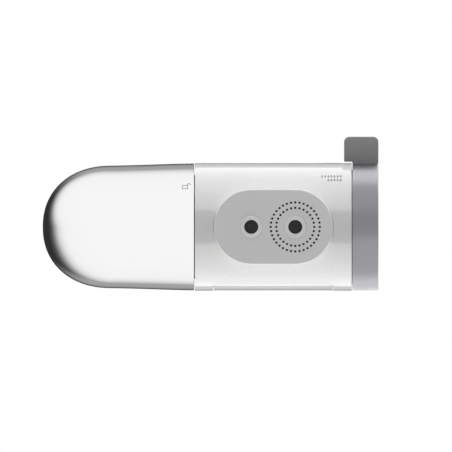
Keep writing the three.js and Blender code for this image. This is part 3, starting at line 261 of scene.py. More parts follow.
def weave(name, centre, radius, height, pitch, wire, turn=45):
    """Round wires woven over and under each other, cut to a disc."""
    points, faces = [], []
    count = int(radius / pitch)
    steps_a_pitch, crossing = 4, 0.55
    for direction in (0, 1):
        for row in range(-count, count + 1):
            offset = (row + 0.5) * pitch
            if abs(offset) > radius - wire:
                continue
            reach = math.sqrt(radius ** 2 - offset ** 2)
            steps = max(4, int(2 * reach / pitch * steps_a_pitch))
            line = []
            for i in range(steps + 1):
                s = -reach + 2 * reach * i / steps
                wave = math.cos(math.pi * (s / pitch - 0.5)) * (1 if row % 2 else -1)
                lift = wave * wire * crossing * (1 if direction else -1)
                a, b = (s, offset) if direction else (offset, s)
                c, d = math.cos(math.radians(turn)), math.sin(math.radians(turn))
                line.append((centre[0] + a * c - b * d, centre[1] + a * d + b * c, height + lift))
            places, more = strand(line, wire / 2)
            faces += [[k + len(points) for k in face] for face in more]
            points += places
    return make(name, points, faces, 60)


# ------------------------------ materials


def linear(value):
    """A brightness from 0 to 255, as light."""
    value /= 255
    return value / 12.92 if value <= 0.04045 else ((value + 0.055) / 1.055) ** 2.4


def colour(red, green, blue):
    return tuple(linear(v) for v in (red, green, blue)) + (1.0,)


class Finish:
    """A material whose colour, roughness and relief come from noise in the object's own space."""

    def __init__(self, name, base, roughness, metallic=0.0, **shader):
        self.material = bpy.data.materials.new(name)
        self.material.use_nodes = True
        self.tree = self.material.node_tree
        self.shader = self.tree.nodes["Principled BSDF"]
        self.shader.inputs["Base Color"].default_value = base
        self.shader.inputs["Roughness"].default_value = roughness
        self.shader.inputs["Metallic"].default_value = metallic
        for key, value in shader.items():
            self.shader.inputs[key.replace("_", " ")].default_value = value
        self.base, self.roughness = base, roughness
        self.place = self.tree.nodes.new("ShaderNodeTexCoord").outputs["Object"]
        self.relief = None

    def link(self, source, target):
        self.tree.links.new(source, target)

    def noise(self, scale, detail=3.0, stretch=(1, 1, 1), rough=0.5):
        mapping = self.tree.nodes.new("ShaderNodeMapping")
        mapping.inputs["Scale"].default_value = stretch
        node = self.tree.nodes.new("ShaderNodeTexNoise")
        node.inputs["Scale"].default_value = scale
        node.inputs["Detail"].default_value = detail
        node.inputs["Roughness"].default_value = rough
        self.link(self.place, mapping.inputs["Vector"])
        self.link(mapping.outputs["Vector"], node.inputs["Vector"])
        return node.outputs["Fac"]

    def along(self, axis):
        """The position along an axis in the object's own space, in metres."""
        split = self.tree.nodes.new("ShaderNodeSeparateXYZ")
        self.link(self.place, split.inputs[0])
        return split.outputs[axis]

    def ranged(self, source, low, high, start=0.3, end=0.7):
        node = self.tree.nodes.new("ShaderNodeMapRange")
        node.inputs["From Min"].default_value = start
        node.inputs["From Max"].default_value = end
        node.inputs["To Min"].default_value = low
        node.inputs["To Max"].default_value = high
        self.link(source, node.inputs["Value"])
        return node.outputs["Result"]

    def vary_colour(self, source, other, start=0.3, end=0.7):
        """Mixes towards the other colour where the source is high."""
        mix = self.tree.nodes.new("ShaderNodeMix")
        mix.data_type = "RGBA"
        target = self.shader.inputs["Base Color"]
        tone = mix.inputs[6]
        tone.default_value = self.base
        mix.inputs[7].default_value = other
        if target.links:
            self.link(target.links[0].from_socket, tone)
        self.link(self.ranged(source, 0.0, 1.0, start, end), mix.inputs[0])
        self.link(mix.outputs[2], target)
        return self

    def vary_roughness(self, source, spread):
        low, high = self.roughness - spread, self.roughness + spread
        self.link(self.ranged(source, max(low, 0.01), high), self.shader.inputs["Roughness"])
        return self

    def bump(self, source, distance, strength=1.0):
        """Relief of the given depth in millimetres, on top of any before it."""
        node = self.tree.nodes.new("ShaderNodeBump")
        node.inputs["Strength"].default_value = strength
        node.inputs["Distance"].default_value = distance * MM
        self.link(source, node.inputs["Height"])
        if self.relief:
            self.link(self.relief, node.inputs["Normal"])
        self.relief = node.outputs["Normal"]
        self.link(self.relief, self.shader.inputs["Normal"])
        return self


def white_gloss():
    f = Finish("white_gloss", colour(231, 231, 231), 0.055, IOR=1.5)
    f.vary_colour(f.noise(14, 4), colour(228, 228, 227))
    f.vary_colour(f.noise(900, 2), colour(233, 233, 232))
    f.vary_roughness(f.noise(45, 5), 0.02)
    f.bump(f.noise(260, 2), 0.0012)
    return f.material


def white_satin():
    f = Finish("white_satin", colour(226, 226, 224), 0.38)
    f.vary_colour(f.noise(30, 4), colour(220, 219, 215))
    f.vary_roughness(f.noise(80, 4), 0.06)
    f.bump(f.noise(2600, 3), 0.006)
    return f.material


def plate_white():
    f = Finish("plate_white", colour(230, 230, 230), 0.07, IOR=1.5, Specular_IOR_Level=0.9)
    f.vary_colour(f.noise(22, 4), colour(228, 228, 227))
    f.vary_roughness(f.noise(60, 5), 0.02)
    f.bump(f.noise(320, 2), 0.001)
    return f.material


def nozzle_white():
    f = Finish("nozzle_white", colour(236, 236, 236), 0.12, Specular_IOR_Level=0.9)
    f.vary_colour(f.noise(70, 3), colour(231, 231, 229))
    f.vary_roughness(f.noise(160, 3), 0.05)
    f.bump(f.noise(1500, 3), 0.003)
    return f.material


def polished_steel():
    f = Finish("polished_steel", (0.93, 0.93, 0.925, 1), 0.1, 1.0)
    f.vary_colour(f.noise(9, 5), (0.915, 0.918, 0.915, 1))
    f.vary_roughness(f.noise(60, 4, (9, 1, 1)), 0.025)
    f.bump(f.noise(420, 4, (12, 0.6, 0.6)), 0.0012)
    f.bump(f.noise(30, 3), 0.004)
    return f.material


def steel():
    f = Finish("steel", (0.56, 0.56, 0.55, 1), 0.3, 1.0)
    f.vary_colour(f.noise(500, 3), (0.46, 0.46, 0.46, 1))
    f.vary_roughness(f.noise(300, 4), 0.08)
    f.bump(f.noise(1400, 3, (3, 1, 1)), 0.002)
    return f.material


def anodised_grey():
    """Grey metal with painted shade: the tab darker than the ring, and darkest at its root by the body."""
    tab_shade_start, tab_shade_end = -0.0318, -0.043
    ring_unshaded_start, ring_unshaded_full = -0.0314, -0.0309
    f = Finish("anodised_grey", (0.130, 0.130, 0.134, 1), 0.36, 1.0)
    # Painted shade: the tab is darker than the ring and darkest at its root by the body, while the ring is
    # left lighter.
    f.vary_colour(f.along("Y"), (0.190, 0.190, 0.193, 1), tab_shade_start, tab_shade_end)
    f.vary_colour(f.along("Y"), (0.209, 0.207, 0.221, 1), ring_unshaded_start, ring_unshaded_full)
    f.vary_colour(f.noise(3200, 2), (0.26, 0.26, 0.27, 1), 0.3, 2.3)
    f.vary_colour(f.noise(40, 4), (0.12, 0.12, 0.13, 1), 0.3, 3.3)
    f.vary_roughness(f.noise(220, 4), 0.04)
    f.bump(f.noise(5200, 2), 0.003)
    return f.material


def wire_grey():
    f = Finish("wire_grey", (0.045, 0.045, 0.045, 1), 0.42, 0.6)
    f.vary_colour(f.noise(800, 3), (0.022, 0.022, 0.022, 1))
    f.vary_roughness(f.noise(900, 3), 0.1)
    f.bump(f.noise(6000, 2), 0.002)
    return f.material


def seal_black():
    f = Finish("seal_black", (0.012, 0.012, 0.012, 1), 0.62, Specular_IOR_Level=0.2)
    f.vary_colour(f.noise(140, 4), (0.022, 0.022, 0.021, 1))
    f.vary_roughness(f.noise(200, 4), 0.1)
    f.bump(f.noise(2400, 4), 0.012)
    return f.material


def ceramic():
    f = Finish("ceramic", colour(238, 234, 224), 0.16)
    f.vary_colour(f.noise(260, 4), colour(228, 223, 210))
    f.vary_roughness(f.noise(400, 3), 0.05)
    f.bump(f.noise(3000, 2), 0.001)
    return f.material


def carbon():
    f = Finish("carbon", (0.010, 0.010, 0.010, 1), 0.9)
    f.vary_colour(f.noise(1500, 4, rough=0.7), (0.055, 0.054, 0.052, 1), 0.45, 0.75)
    f.vary_roughness(f.noise(1200, 3), 0.08)
    f.bump(f.noise(1700, 4, rough=0.7), 0.12)
    return f.material


def fleece():
    f = Finish("fleece", colour(236, 236, 231), 0.95)
    f.vary_colour(f.noise(420, 6, (1, 5, 5), 0.75), colour(205, 205, 199), 0.4, 0.7)
    f.vary_roughness(f.noise(700, 3), 0.04)
    f.bump(f.noise(900, 6, (1, 4, 4), 0.75), 0.16)
    f.bump(f.noise(1500, 4, (5, 1, 1), 0.7), 0.08)
    return f.material


def liner_grey():
    f = Finish("liner_grey", colour(207, 208, 207), 0.46)
    f.vary_colour(f.noise(50, 4), colour(199, 200, 199))
    f.vary_roughness(f.noise(140, 4), 0.06)
    f.bump(f.noise(2200, 3), 0.008)
    return f.material


def print_grey():
    f = Finish("print_grey", colour(118, 118, 120), 0.45)
    f.vary_colour(f.noise(2600, 3), colour(130, 130, 132))
    f.vary_roughness(f.noise(900, 3), 0.08)
    return f.material


LOOKS = {
    "white_gloss": white_gloss(),
    "white_satin": white_satin(),
    "plate_white": plate_white(),
    "nozzle_white": nozzle_white(),
    "black_mesh": wire_grey(),
    "polished_steel": polished_steel(),
    "steel": steel(),
    "anodised_grey": anodised_grey(),
    "seal_black": seal_black(),
    "ceramic": ceramic(),
    "carbon": carbon(),
    "fleece": fleece(),
    "liner_grey": liner_grey(),
    "print": print_grey(),
}


def finish(piece, slot, body, *nodes, look=None):
    """Gives a new piece the material of its slot, or of the given look, puts it in its body and hides the CAD
    nodes it stands for.
    """
    piece.data.materials.clear()
    piece.data.materials.append(LOOKS[look or slot])
    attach(piece, body)
    if nodes:
        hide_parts(*nodes)
    return piece


# The CAD nodes that stay get their slot's material, and smooth shading on their round faces.
SAME_POINT = 1e-6
CRISP = math.radians(28)
for entry in frame["record"]["subparts"]:
    node = NODES[entry["node"]]
    node.data.materials.clear()
    node.data.materials.append(LOOKS[entry["material_slot"]])
    node.data.polygons.foreach_set("use_smooth", [True] * len(node.data.polygons))
    node.modifiers.new("weld", "WELD").merge_threshold = SAME_POINT
    node.modifiers.new("split", "EDGE_SPLIT").split_angle = CRISP

# ------------------------------ body shell and rear cover

EDGE = 0.28
TURRET = {"top": BODY_HIGH[2], "radius": 17.5, "edge": 0.8, "steps": 128}
INLET_RADIUS = 9.4
PLATE_GAP = 0.04
PANEL = {
    "length": 58.0, "height": 31.4, "corner": 4.0, "edge": 0.25, "wall": 1.2,
    "sunk": 0.15, "gap": 0.24, "behind": 0.3, "margin": 3.4,
}


def barrel_wall(name, inner, outer):
    """A tube as long as the body."""
    return lathe(name, [
        (BODY_LEFT, inner), (BODY_LEFT, outer), (BODY_RIGHT, outer), (BODY_RIGHT, inner)], loop=True)


def panel_tool(name, grow=0.0, corner=PANEL["corner"]):
    """The rear panel's outline through the barrel's back, wider on every side by the given growth."""
    outline = rounded(PANEL["height"] + 2 * grow, PANEL["length"] + 2 * grow, corner)
    return prism(name, outline, 0, OUTSIDE, "Y")


def turret_block():
    """The round block for the tap nut, hollowed where the barrel's bore passes."""
    top, radius, rim = TURRET["top"], TURRET["radius"], TURRET["edge"]
    foot, hollow = BODY_BORE - BODY_WALL, BODY_BORE + 0.5
    block = lathe("turret", [
        (foot, 0),
        (foot, radius),
        *arc((top - rim, radius - rim), rim, 90, 0),
        (top, 0),
    ], "Z", TURRET["steps"])
    return combine(block, lathe("hollow", [
        (BODY_LEFT, 0), (BODY_LEFT, hollow), (BODY_RIGHT, hollow), (BODY_RIGHT, 0)]))


def body_skin():
    skin = lathe("shell_skin", [
        (BODY_LEFT, BODY_BORE),
        *arc((BODY_LEFT + EDGE, BODY_RADIUS - EDGE), EDGE, 180, 90),
        *arc((BODY_RIGHT - EDGE, BODY_RADIUS - EDGE), EDGE, 90, 0),
        (BODY_RIGHT, BODY_BORE),
    ], loop=True)
    combine(skin, turret_block(), "UNION")
    combine(skin, prism("plate_hole", stadium(PLATE_RADIUS + PLATE_GAP), -OUTSIDE, -PLATE_BACK))
    combine(skin, lathe("inlet_hole", [
        (0, 0), (0, INLET_RADIUS), (OUTSIDE, INLET_RADIUS), (OUTSIDE, 0)], "Z", 96))
    floor_radius = BODY_RADIUS - PANEL["sunk"] - PANEL["wall"] - PANEL["behind"]
    pocket = barrel_wall("pocket", floor_radius, BODY_RADIUS + 1)
    combine(pocket, panel_tool("pocket_edge", PANEL["gap"], PANEL["corner"] + PANEL["gap"]), "INTERSECT")
    combine(skin, pocket)
    return combine(skin, panel_tool("rear_hole", -PANEL["margin"]))


def rear_panel():
    outer = BODY_RADIUS - PANEL["sunk"]
    piece = barrel_wall("rear_panel", outer - PANEL["wall"], outer)
    combine(piece, panel_tool("panel_edge"), "INTERSECT")
    return soften(piece, PANEL["edge"], steps=2, angle=50)


finish(body_skin(), "white_gloss", "body", "body_shell")
finish(rear_panel(), "white_gloss", "body", "rear_cover")

# ------------------------------ outlet plate, nozzles and screens

PLATE_EDGE = 1.05
PLATE_WALL = 2.2
WELL = {"head": 5.45, "shank": 5.1, "seat": 1.1, "start": -40, "end": -10}
HOLE = {"radius": 0.56, "flare": 0.05, "flare_depth": 0.1, "before": 0.5, "depth": 3}
TIP = {"bore": 0.16, "mouth": 0.3, "proud": 0.06, "gap": 0.04, "sunk": 0.5, "back": 2.2}
WEB = {"inner": 7.6, "outer": 12.9, "front": 0.05, "back": 0.7}
NOZZLE = {
    "face": span("straight_nozzle")[0][2], "bore": 3.4, "lip": 0.28, "head": 5.3, "soft": 0.4,
    "seat": 0.8, "shank": 4.8, "length": 8, "inner": 4.2, "step": 0.9,
}
SCREEN = {"radius": 3.85, "pitch": 0.42, "wire": 0.2, "front": 1.15, "back": 1.75, "back_turn": 20}
# A dark disc behind the screens, painted shade for the dark inside of the outlet.
SHADE_DISC = {"radius": 4.0, "front": 2.1, "back": 3.0}


def spray_places():
    """The centres of the spray holes, in rings round the right-hand outlet."""
    places = []
    for radius, number in SPRAY_ROWS:
        for i in range(number):
            a = math.tau * i / number
            places.append((OUTLET_X + radius * math.cos(a), radius * math.sin(a), 0))
    return places


def plate_levels():
    """The plate's end radius and its height, from the rounded face to the inside of its wall."""
    curve = [math.pi / 2 * i / 8 for i in range(9)]
    inside = PLATE_RADIUS - PLATE_WALL
    return [
        *((PLATE_RADIUS - PLATE_EDGE + PLATE_EDGE * math.sin(a), -PLATE_FACE + PLATE_EDGE * (1 - math.cos(a)))
          for a in curve),
        (PLATE_RADIUS, -PLATE_BACK),
        (inside, -PLATE_BACK),
        (inside, -PLATE_FACE + PLATE_WALL),
    ]


def outlet_face():
    levels = plate_levels()
    points = [(x, y, height) for radius, height in levels for x, y in stadium(radius)]
    count = len(points) // len(levels)
    faces = []
    for start in range(0, len(points) - count, count):
        for i in range(count):
            j = (i + 1) % count
            faces.append([start + i, start + j, start + count + j, start + count + i])
    faces.append(list(range(count))[::-1])
    faces.append(list(range(len(points) - count, len(points))))
    plate = make("outlet_face", points, faces, 40)

    seat = -PLATE_FACE + WELL["seat"]
    well = [(WELL["start"], 0), (WELL["start"], WELL["head"]), (seat, WELL["head"]),
            (seat, WELL["shank"]), (WELL["end"], WELL["shank"]), (WELL["end"], 0)]
    wells = [lathe("well", well, "Z", 96, (x, 0, 0)) for x in (-OUTLET_X, OUTLET_X)]
    combine(plate, joined("wells", wells), smooth=40)

    before, after = -PLATE_FACE - HOLE["before"], -PLATE_FACE + HOLE["depth"]
    rim = HOLE["radius"] + HOLE["flare"]
    hole = [(before, 0), (before, rim), (-PLATE_FACE, rim),
            (-PLATE_FACE + HOLE["flare_depth"], HOLE["radius"]), (after, HOLE["radius"]), (after, 0)]
    holes = [lathe("hole", hole, "Z", 20, place) for place in spray_places()]
    return combine(plate, joined("holes", holes), smooth=40)


def hole_shade_tips():
    """Black tips sunk in the spray holes, one moulding with a thin web behind the plate. Their black is
    painted shade for the dark inside of the holes.
    """
    top, back = -PLATE_FACE + TIP["sunk"], -PLATE_FACE + TIP["back"]
    outer = HOLE["radius"] - TIP["gap"]
    tip = [(top, TIP["bore"]), (top - TIP["proud"], TIP["mouth"]), (top, outer), (back, outer),
           (back, TIP["bore"])]
    tips = [lathe("tip", tip, "Z", 16, place, loop=True) for place in spray_places()]
    front, rear = back + WEB["front"], back + WEB["back"]
    web = lathe("web", [
        (front, WEB["inner"]), (front, WEB["outer"]), (rear, WEB["outer"]), (rear, WEB["inner"]),
    ], "Z", 96, (OUTLET_X, 0, 0), loop=True)
    whole = joined("hole_shade_tips", [*tips, web])
    shade(whole)
    return whole


def nozzle_ring(name, x):
    face, bore, lip, head, soft = (NOZZLE[key] for key in ("face", "bore", "lip", "head", "soft"))
    seat, end, step = -PLATE_FACE + NOZZLE["seat"], face + NOZZLE["length"], face + NOZZLE["step"]
    return lathe(name, [
        *arc((face + lip, bore + lip), lip, 270, 180, 4),
        *arc((face + soft, head - soft), soft, 180, 90, 6),
        (seat, head),
        (seat, NOZZLE["shank"]),
        (end, NOZZLE["shank"]),
        (end, NOZZLE["inner"]),
        (step, NOZZLE["inner"]),
        (step, bore),
    ], "Z", 128, (x, 0, 0), loop=True)


def screen_pack(name, x):
    """Two layers of mesh at an angle to each other, with a dark disc behind them as painted shade for the
    inside of the outlet.
    """
    face, centre = NOZZLE["face"], (x, 0, 0)
    radius, pitch, wire = SCREEN["radius"], SCREEN["pitch"], SCREEN["wire"]
    front = weave(name, centre, radius, face + SCREEN["front"], pitch, wire)
    back = weave(name + "_back", centre, radius, face + SCREEN["back"], pitch, wire, SCREEN["back_turn"])
    start, end = face + SHADE_DISC["front"], face + SHADE_DISC["back"]
    shade_disc = lathe(name + "_shade_disc", [
        (start, 0), (start, SHADE_DISC["radius"]), (end, SHADE_DISC["radius"]), (end, 0)], "Z", 64, centre)
    whole = joined(name, [front, back, shade_disc])
    shade(whole, 60)
    return whole


finish(outlet_face(), "plate_white", "body", "outlet_plate")
# Black tips in the spray holes, painted shade for the dark inside of the holes.
finish(hole_shade_tips(), "seal_black", "body")
for label, x in (("filtered", -OUTLET_X), ("straight", OUTLET_X)):
    finish(nozzle_ring(f"nozzle_{label}", x), "nozzle_white", "body", f"{label}_nozzle")
    finish(screen_pack(f"weave_{label}", x), "black_mesh", "body", f"{label}_screen")

# ------------------------------ filter cover

COVER_LOW, COVER_HIGH = span("cover_shell")
COVER_TIP, COVER_MOUTH = COVER_LOW[0], COVER_HIGH[0]
MOUTH_RADIUS = COVER_HIGH[1]
NOSE = {"length": 33.5, "radius": 29.8, "fullness": 2.18}
NOSE_END = COVER_TIP + NOSE["length"]
COVER_WALL = 0.8
COVER_LIP = 0.38


def nose_profile(inset, steps=72):
    """A quarter of a superellipse, from the tip to the nose's widest ring."""
    power = 2 / NOSE["fullness"]
    along, across = NOSE["length"] - inset, NOSE["radius"] - inset
    points = []
    for i in range(steps + 1):
        a = math.pi / 2 * i / steps
        radius = 0 if i == 0 else across * math.sin(a) ** power
        back = 0 if i == steps else along * math.cos(a) ** power
        points.append((NOSE_END - back, radius))
    return points


def cover_skin():
    """The steel skin: the nose, a wall that widens towards the mouth, a rolled lip and the inside."""
    outer = nose_profile(0)
    start, end = outer[-1], (COVER_MOUTH - COVER_LIP, MOUTH_RADIUS)
    middle_steps = 12
    wall = []
    for i in range(1, middle_steps):
        t = i / middle_steps
        rise = t * t * (3 - 2 * t) * 0.5 + t * 0.5
        wall.append((start[0] + (end[0] - start[0]) * t, start[1] + (end[1] - start[1]) * rise))
    lip = arc((COVER_MOUTH - COVER_LIP, MOUTH_RADIUS - COVER_LIP), COVER_LIP, 90, -90, 10)
    inner = nose_profile(COVER_WALL)[::-1]
    return lathe("cover_skin", [*outer, *wall, *lip, *inner], smooth=50)


finish(cover_skin(), "polished_steel", "cover", "cover_shell")

# ------------------------------ filter cartridge and the cover's seal


def cartridge_end():
    """The blind end cap, with a shoulder that falls away in a curve and a shallow dish in its end."""
    low, high = span("cartridge_cap")
    rim, bevel, flat, soft = high[1], 0.3, 4.0, 0.6
    nose, nose_length, fall, steps = 15.0, 8.0, 1.58, 16
    dish, dish_rim = 0.8, nose - 2.4
    shoulder = []
    for i in range(steps + 1):
        along = high[0] - flat - (nose_length - soft) * i / steps
        shoulder.append((along, rim - (rim - nose - soft) * (i / steps) ** fall))
    return lathe("cartridge_end", [
        (high[0], 0), (high[0], rim - bevel), (high[0] - bevel, rim), *shoulder,
        (low[0], nose - soft), (low[0], dish_rim), (low[0] + dish, dish_rim - dish), (low[0] + dish, 0),
    ], smooth=35)


def cartridge_fleece():
    """The fleece sleeve, drawn in slightly at both welded ends."""
    low, high = span("fleece_wrap")
    thick, band, drawn, ramp = 1.2, 1.6, 0.25, 0.4
    outer = high[1]
    inner, welded = outer - thick, outer - drawn
    return lathe("cartridge_fleece", [
        (low[0], inner), (low[0], welded), (low[0] + band, welded), (low[0] + band + ramp, outer),
        (high[0] - band - ramp, outer), (high[0] - band, welded), (high[0], welded), (high[0], inner),
    ], loop=True, smooth=20)


def cartridge_top():
    """The head with its spigot and seal groove, notched round the rim for the water's way in."""
    low, high = span("cartridge_head")
    rim, face, spigot, bore = high[1], low[0] + 4.0, 5.6, 3.0
    bevel, soft = 0.75, 0.4
    seal, half_groove, groove_floor = middle("spigot_seal", 0), 1, spigot - 1.1
    head = lathe("cartridge_top", [
        (low[0], bore), (low[0], rim), (face - bevel, rim), (face, rim - bevel),
        (face, spigot + soft), (face + soft, spigot),
        (seal - half_groove, spigot), (seal - half_groove, groove_floor),
        (seal + half_groove, groove_floor), (seal + half_groove, spigot),
        (high[0] - soft, spigot), (high[0], spigot - soft), (high[0], bore),
    ], loop=True)
    count, notch_radius, notch_ring = 8, 2.2, rim + 1.1
    outline = [(low[0] - 1, 0), (low[0] - 1, notch_radius), (high[0], notch_radius), (high[0], 0)]
    notches = []
    for i in range(count):
        a = math.tau * (i + 0.5) / count
        notches.append(lathe("notch", outline, "X", 32, on_axis("X", 0, notch_ring, a)))
    return combine(head, joined("notches", notches), smooth=35)


def seal_ring(name, node, section, steps=24):
    """A seal of round section, its outside where the node's is."""
    outline = arc((middle(node, 0), span(node)[1][1] - section), section, 0, 360 - 360 / steps, steps - 1)
    return lathe(name, outline, loop=True, smooth=60)


finish(cartridge_end(), "white_satin", "cartridge", "cartridge_cap")
finish(cartridge_fleece(), "fleece", "cartridge", "fleece_wrap")
finish(cartridge_top(), "white_satin", "cartridge", "cartridge_head")
finish(seal_ring("spigot_ring", "spigot_seal", 0.6), "seal_black", "cartridge", "spigot_seal")
finish(seal_ring("cover_ring", "cover_seal", 1.2), "seal_black", "cover_seal", "cover_seal")

# ------------------------------ selector

RING_LOW, RING_HIGH = span("selector_ring")
RING_LEFT, RING_RIGHT = BODY_RIGHT + 0.35, RING_HIGH[0]
RING = {"back": BODY_RIGHT - 3.1, "bore": 25.4, "spigot": 28.0, "hub": 9.0, "web": 2.5,
        "back_edge": 0.25, "front_edge": 0.6, "recess_edge": 0.3}
RECESS = {"gap": 0.22, "depth_gap": 0.3}
TAB = {"corner": 2.5, "lift": 0.7, "root": BODY_RADIUS - 1.2, "thick": 4, "edge": 0.45}
DISC = {"edge": 0.5, "rim": 2.2, "inner_rim": 2.6, "step": 0.12, "dish": 0.3}


def selector_tab():
    tip, corner, root, start = -RING_LOW[1], TAB["corner"], TAB["root"], BODY_RADIUS + TAB["lift"]
    outline = [
        (RING_RIGHT, -root), (RING_LEFT, -root), (RING_LEFT, -start), (RING_LOW[0], -start),
        *arc((RING_LOW[0] + corner, -tip + corner), corner, 180, 270, 10),
        *arc((RING_RIGHT - corner, -tip + corner), corner, 270, 360, 10),
    ]
    return soften(prism("tab", outline, -TAB["thick"] / 2, TAB["thick"] / 2), TAB["edge"], 4, 60, 60)


def selector_rim():
    cap_low, cap_high = span("selector_cap")
    recess, floor_at = cap_high[1] + RECESS["gap"], cap_low[0] - RECESS["depth_gap"]
    back, front, inner = RING["back_edge"], RING["front_edge"], RING["recess_edge"]
    ring = lathe("selector_rim", [
        (RING["back"], RING["bore"]),
        (RING["back"], RING["spigot"]),
        (RING_LEFT, RING["spigot"]),
        *arc((RING_LEFT + back, BODY_RADIUS - back), back, 180, 90),
        *arc((RING_RIGHT - front, BODY_RADIUS - front), front, 90, 0, 8),
        *arc((RING_RIGHT - inner, recess + inner), inner, 0, -90, 4),
        (floor_at, recess),
        (floor_at, RING["hub"]),
        (floor_at - RING["web"], RING["hub"]),
        (floor_at - RING["web"], RING["bore"]),
    ], loop=True)
    return combine(ring, selector_tab(), "UNION", 40)


def selector_disc():
    """The disc in the selector's end, slightly dished inside its rim."""
    low, high = span("selector_cap")
    edge, inner, face = DISC["edge"], high[1] - DISC["inner_rim"], high[0] - DISC["step"]
    steps = 16
    dish = []
    for i in range(1, steps + 1):
        radius = inner * (1 - i / steps)
        dish.append((face - DISC["dish"] * (1 - (radius / inner) ** 2), radius))
    return lathe("selector_disc", [
        (low[0], 0), (low[0], high[1]),
        *arc((high[0] - edge, high[1] - edge), edge, 90, 0, 6),
        (high[0], high[1] - DISC["rim"]), (face, inner), *dish,
    ])


finish(selector_rim(), "anodised_grey", "selector", "selector_ring")
finish(selector_disc(), "anodised_grey", "selector", "selector_cap")

# ------------------------------ tap nut, washer and strainer

NUT_LOW, NUT_HIGH = span("tap_nut")
NUT = {
    "steps": 480, "ribs": 24, "groove": 0.45, "chamfer": 1.1, "shoulder": 0.35, "shoulder_inset": 0.55,
    "bore": 12.0, "lip": 1.5, "lip_radius": 9.5, "pitch": 1.0, "thread": 0.55, "thread_rows": 100,
}


def grip_rows(bottom, top):
    """Height, inset and depth of the ribs up the outside."""
    chamfer, shoulder, inset = NUT["chamfer"], NUT["shoulder"], NUT["shoulder_inset"]
    return [(bottom, chamfer, 0.0), (bottom + shoulder, inset, 0.4), (bottom + chamfer, 0.0, 1.0),
            (top - chamfer, 0.0, 1.0), (top - shoulder, inset, 0.4), (top, chamfer, 0.0)]


def thread_rows(bottom, top):
    """Height, radius and depth of the thread down the inside. The thread fades in and out."""
    bore, lip, rows = NUT["bore"], NUT["lip_radius"], NUT["thread_rows"]
    floor_at = bottom + NUT["lip"]
    start, end = top - 0.9, floor_at + 0.6
    rings = [(top, bore + NUT["thread"], 0), (top - NUT["thread"], bore, 0)]
    for k in range(rows + 1):
        t = k / rows
        rings.append((start + (end - start) * t, bore, min(1.0, 8 * t, 8 * (1 - t))))
    rings += [(floor_at, bore, 0), (floor_at, lip, 0), (bottom + 0.3, lip - 0.1, 0), (bottom, lip + 0.2, 0)]
    return rings


def nut_grip():
    """The ribbed union nut with a spiral thread in its bore."""
    steps, groove = NUT["steps"], NUT["groove"]
    points = []
    for height, inset, ribbed in grip_rows(NUT_LOW[2], NUT_HIGH[2]):
        for i in range(steps):
            a = math.tau * i / steps
            wave = (1 - math.cos(a * NUT["ribs"])) / 2
            depth = groove * wave ** 3 * ribbed + groove * 0.5 * (1 - ribbed)
            points.append(on_axis("Z", height, NUT_HIGH[0] - inset - depth, a))
    for height, radius, cut in thread_rows(NUT_LOW[2], NUT_HIGH[2]):
        for i in range(steps):
            turn = (height / NUT["pitch"] - i / steps) % 1
            tooth = NUT["thread"] * abs(2 * turn - 1) * cut
            points.append(on_axis("Z", height, radius + tooth, math.tau * i / steps))
    faces = []
    for here in range(0, len(points), steps):
        after = (here + steps) % len(points)
        for i in range(steps):
            j = (i + 1) % steps
            faces.append([here + i, here + j, after + j, after + i])
    return make("nut_grip", points, faces, 50)


def washer_ring():
    low, high = span("tap_washer")
    outer, inner, soft = high[0], 7.2, 0.3
    return lathe("washer_ring", [
        *arc((low[2] + soft, outer - soft), soft, 180, 90, 4),
        *arc((high[2] - soft, outer - soft), soft, 90, 0, 4),
        *arc((high[2] - soft, inner + soft), soft, 0, -90, 4),
        *arc((low[2] + soft, inner + soft), soft, 270, 180, 4),
    ], "Z", 128, loop=True)


def strainer_weave():
    """A coarse steel mesh in a thin rim."""
    low, high = span("inlet_strainer")
    radius, pitch, wire, inner, outer = 7.4, 0.8, 0.26, 6.9, 7.9
    mesh = weave("strainer_weave", (0, 0, 0), radius, middle("inlet_strainer", 2), pitch, wire, 0)
    rim = lathe("strainer_rim", [
        (low[2], inner), (low[2], outer), (high[2], outer), (high[2], inner)], "Z", 96, loop=True)
    soften(rim, 0.12, 2, 50)
    whole = joined("strainer_weave", [mesh, rim])
    shade(whole, 50)
    return whole


finish(nut_grip(), "white_satin", "tap_nut", "tap_nut")
finish(washer_ring(), "seal_black", "body", "tap_washer")
finish(strainer_weave(), "steel", "body", "inlet_strainer")

# ------------------------------ printed marks

MARK_LIFT = 0.02
MARK_THICKNESS = 0.05
MODE_STEP = 40
TAB_ANGLE = -90
MODE_X = 28.1
MODE_RIGHT = 4.7
LOCK_X = -42.0
LOCK_SIZE = 2.6
LOCK_LINE = 0.34


def body_radius(x):
    return BODY_RADIUS


def cover_radius(x):
    """The cover's radius between its nose and its mouth, a touch over it so that a mark stays in sight."""
    t = (x - NOSE_END) / (COVER_MOUTH - NOSE_END)
    return NOSE["radius"] + (MOUTH_RADIUS - NOSE["radius"]) * min(t * 1.03, 1.0)


def decal(name, shapes, x, angle, surface):
    """Flat shapes printed on a barrel. Each is a closed outline, along X and then round the barrel."""
    points, faces = [], []
    for outline in shapes:
        base, count = len(points), len(outline)
        for level in (0.0, MARK_THICKNESS):
            for u, v in outline:
                a = math.radians(angle) + v / surface(x)
                r = surface(x + u) + MARK_LIFT + level
                points.append((x + u, r * math.sin(a), -r * math.cos(a)))
        faces.append([base + i for i in range(count)])
        faces.append([base + count + i for i in range(count)][::-1])
        for i in range(count):
            j = (i + 1) % count
            faces.append([base + i, base + j, base + count + j, base + count + i])
    return make(name, points, faces, 30)


def bar(u, v, width, height):
    return [(u - width / 2, v - height / 2), (u + width / 2, v - height / 2),
            (u + width / 2, v + height / 2), (u - width / 2, v + height / 2)]


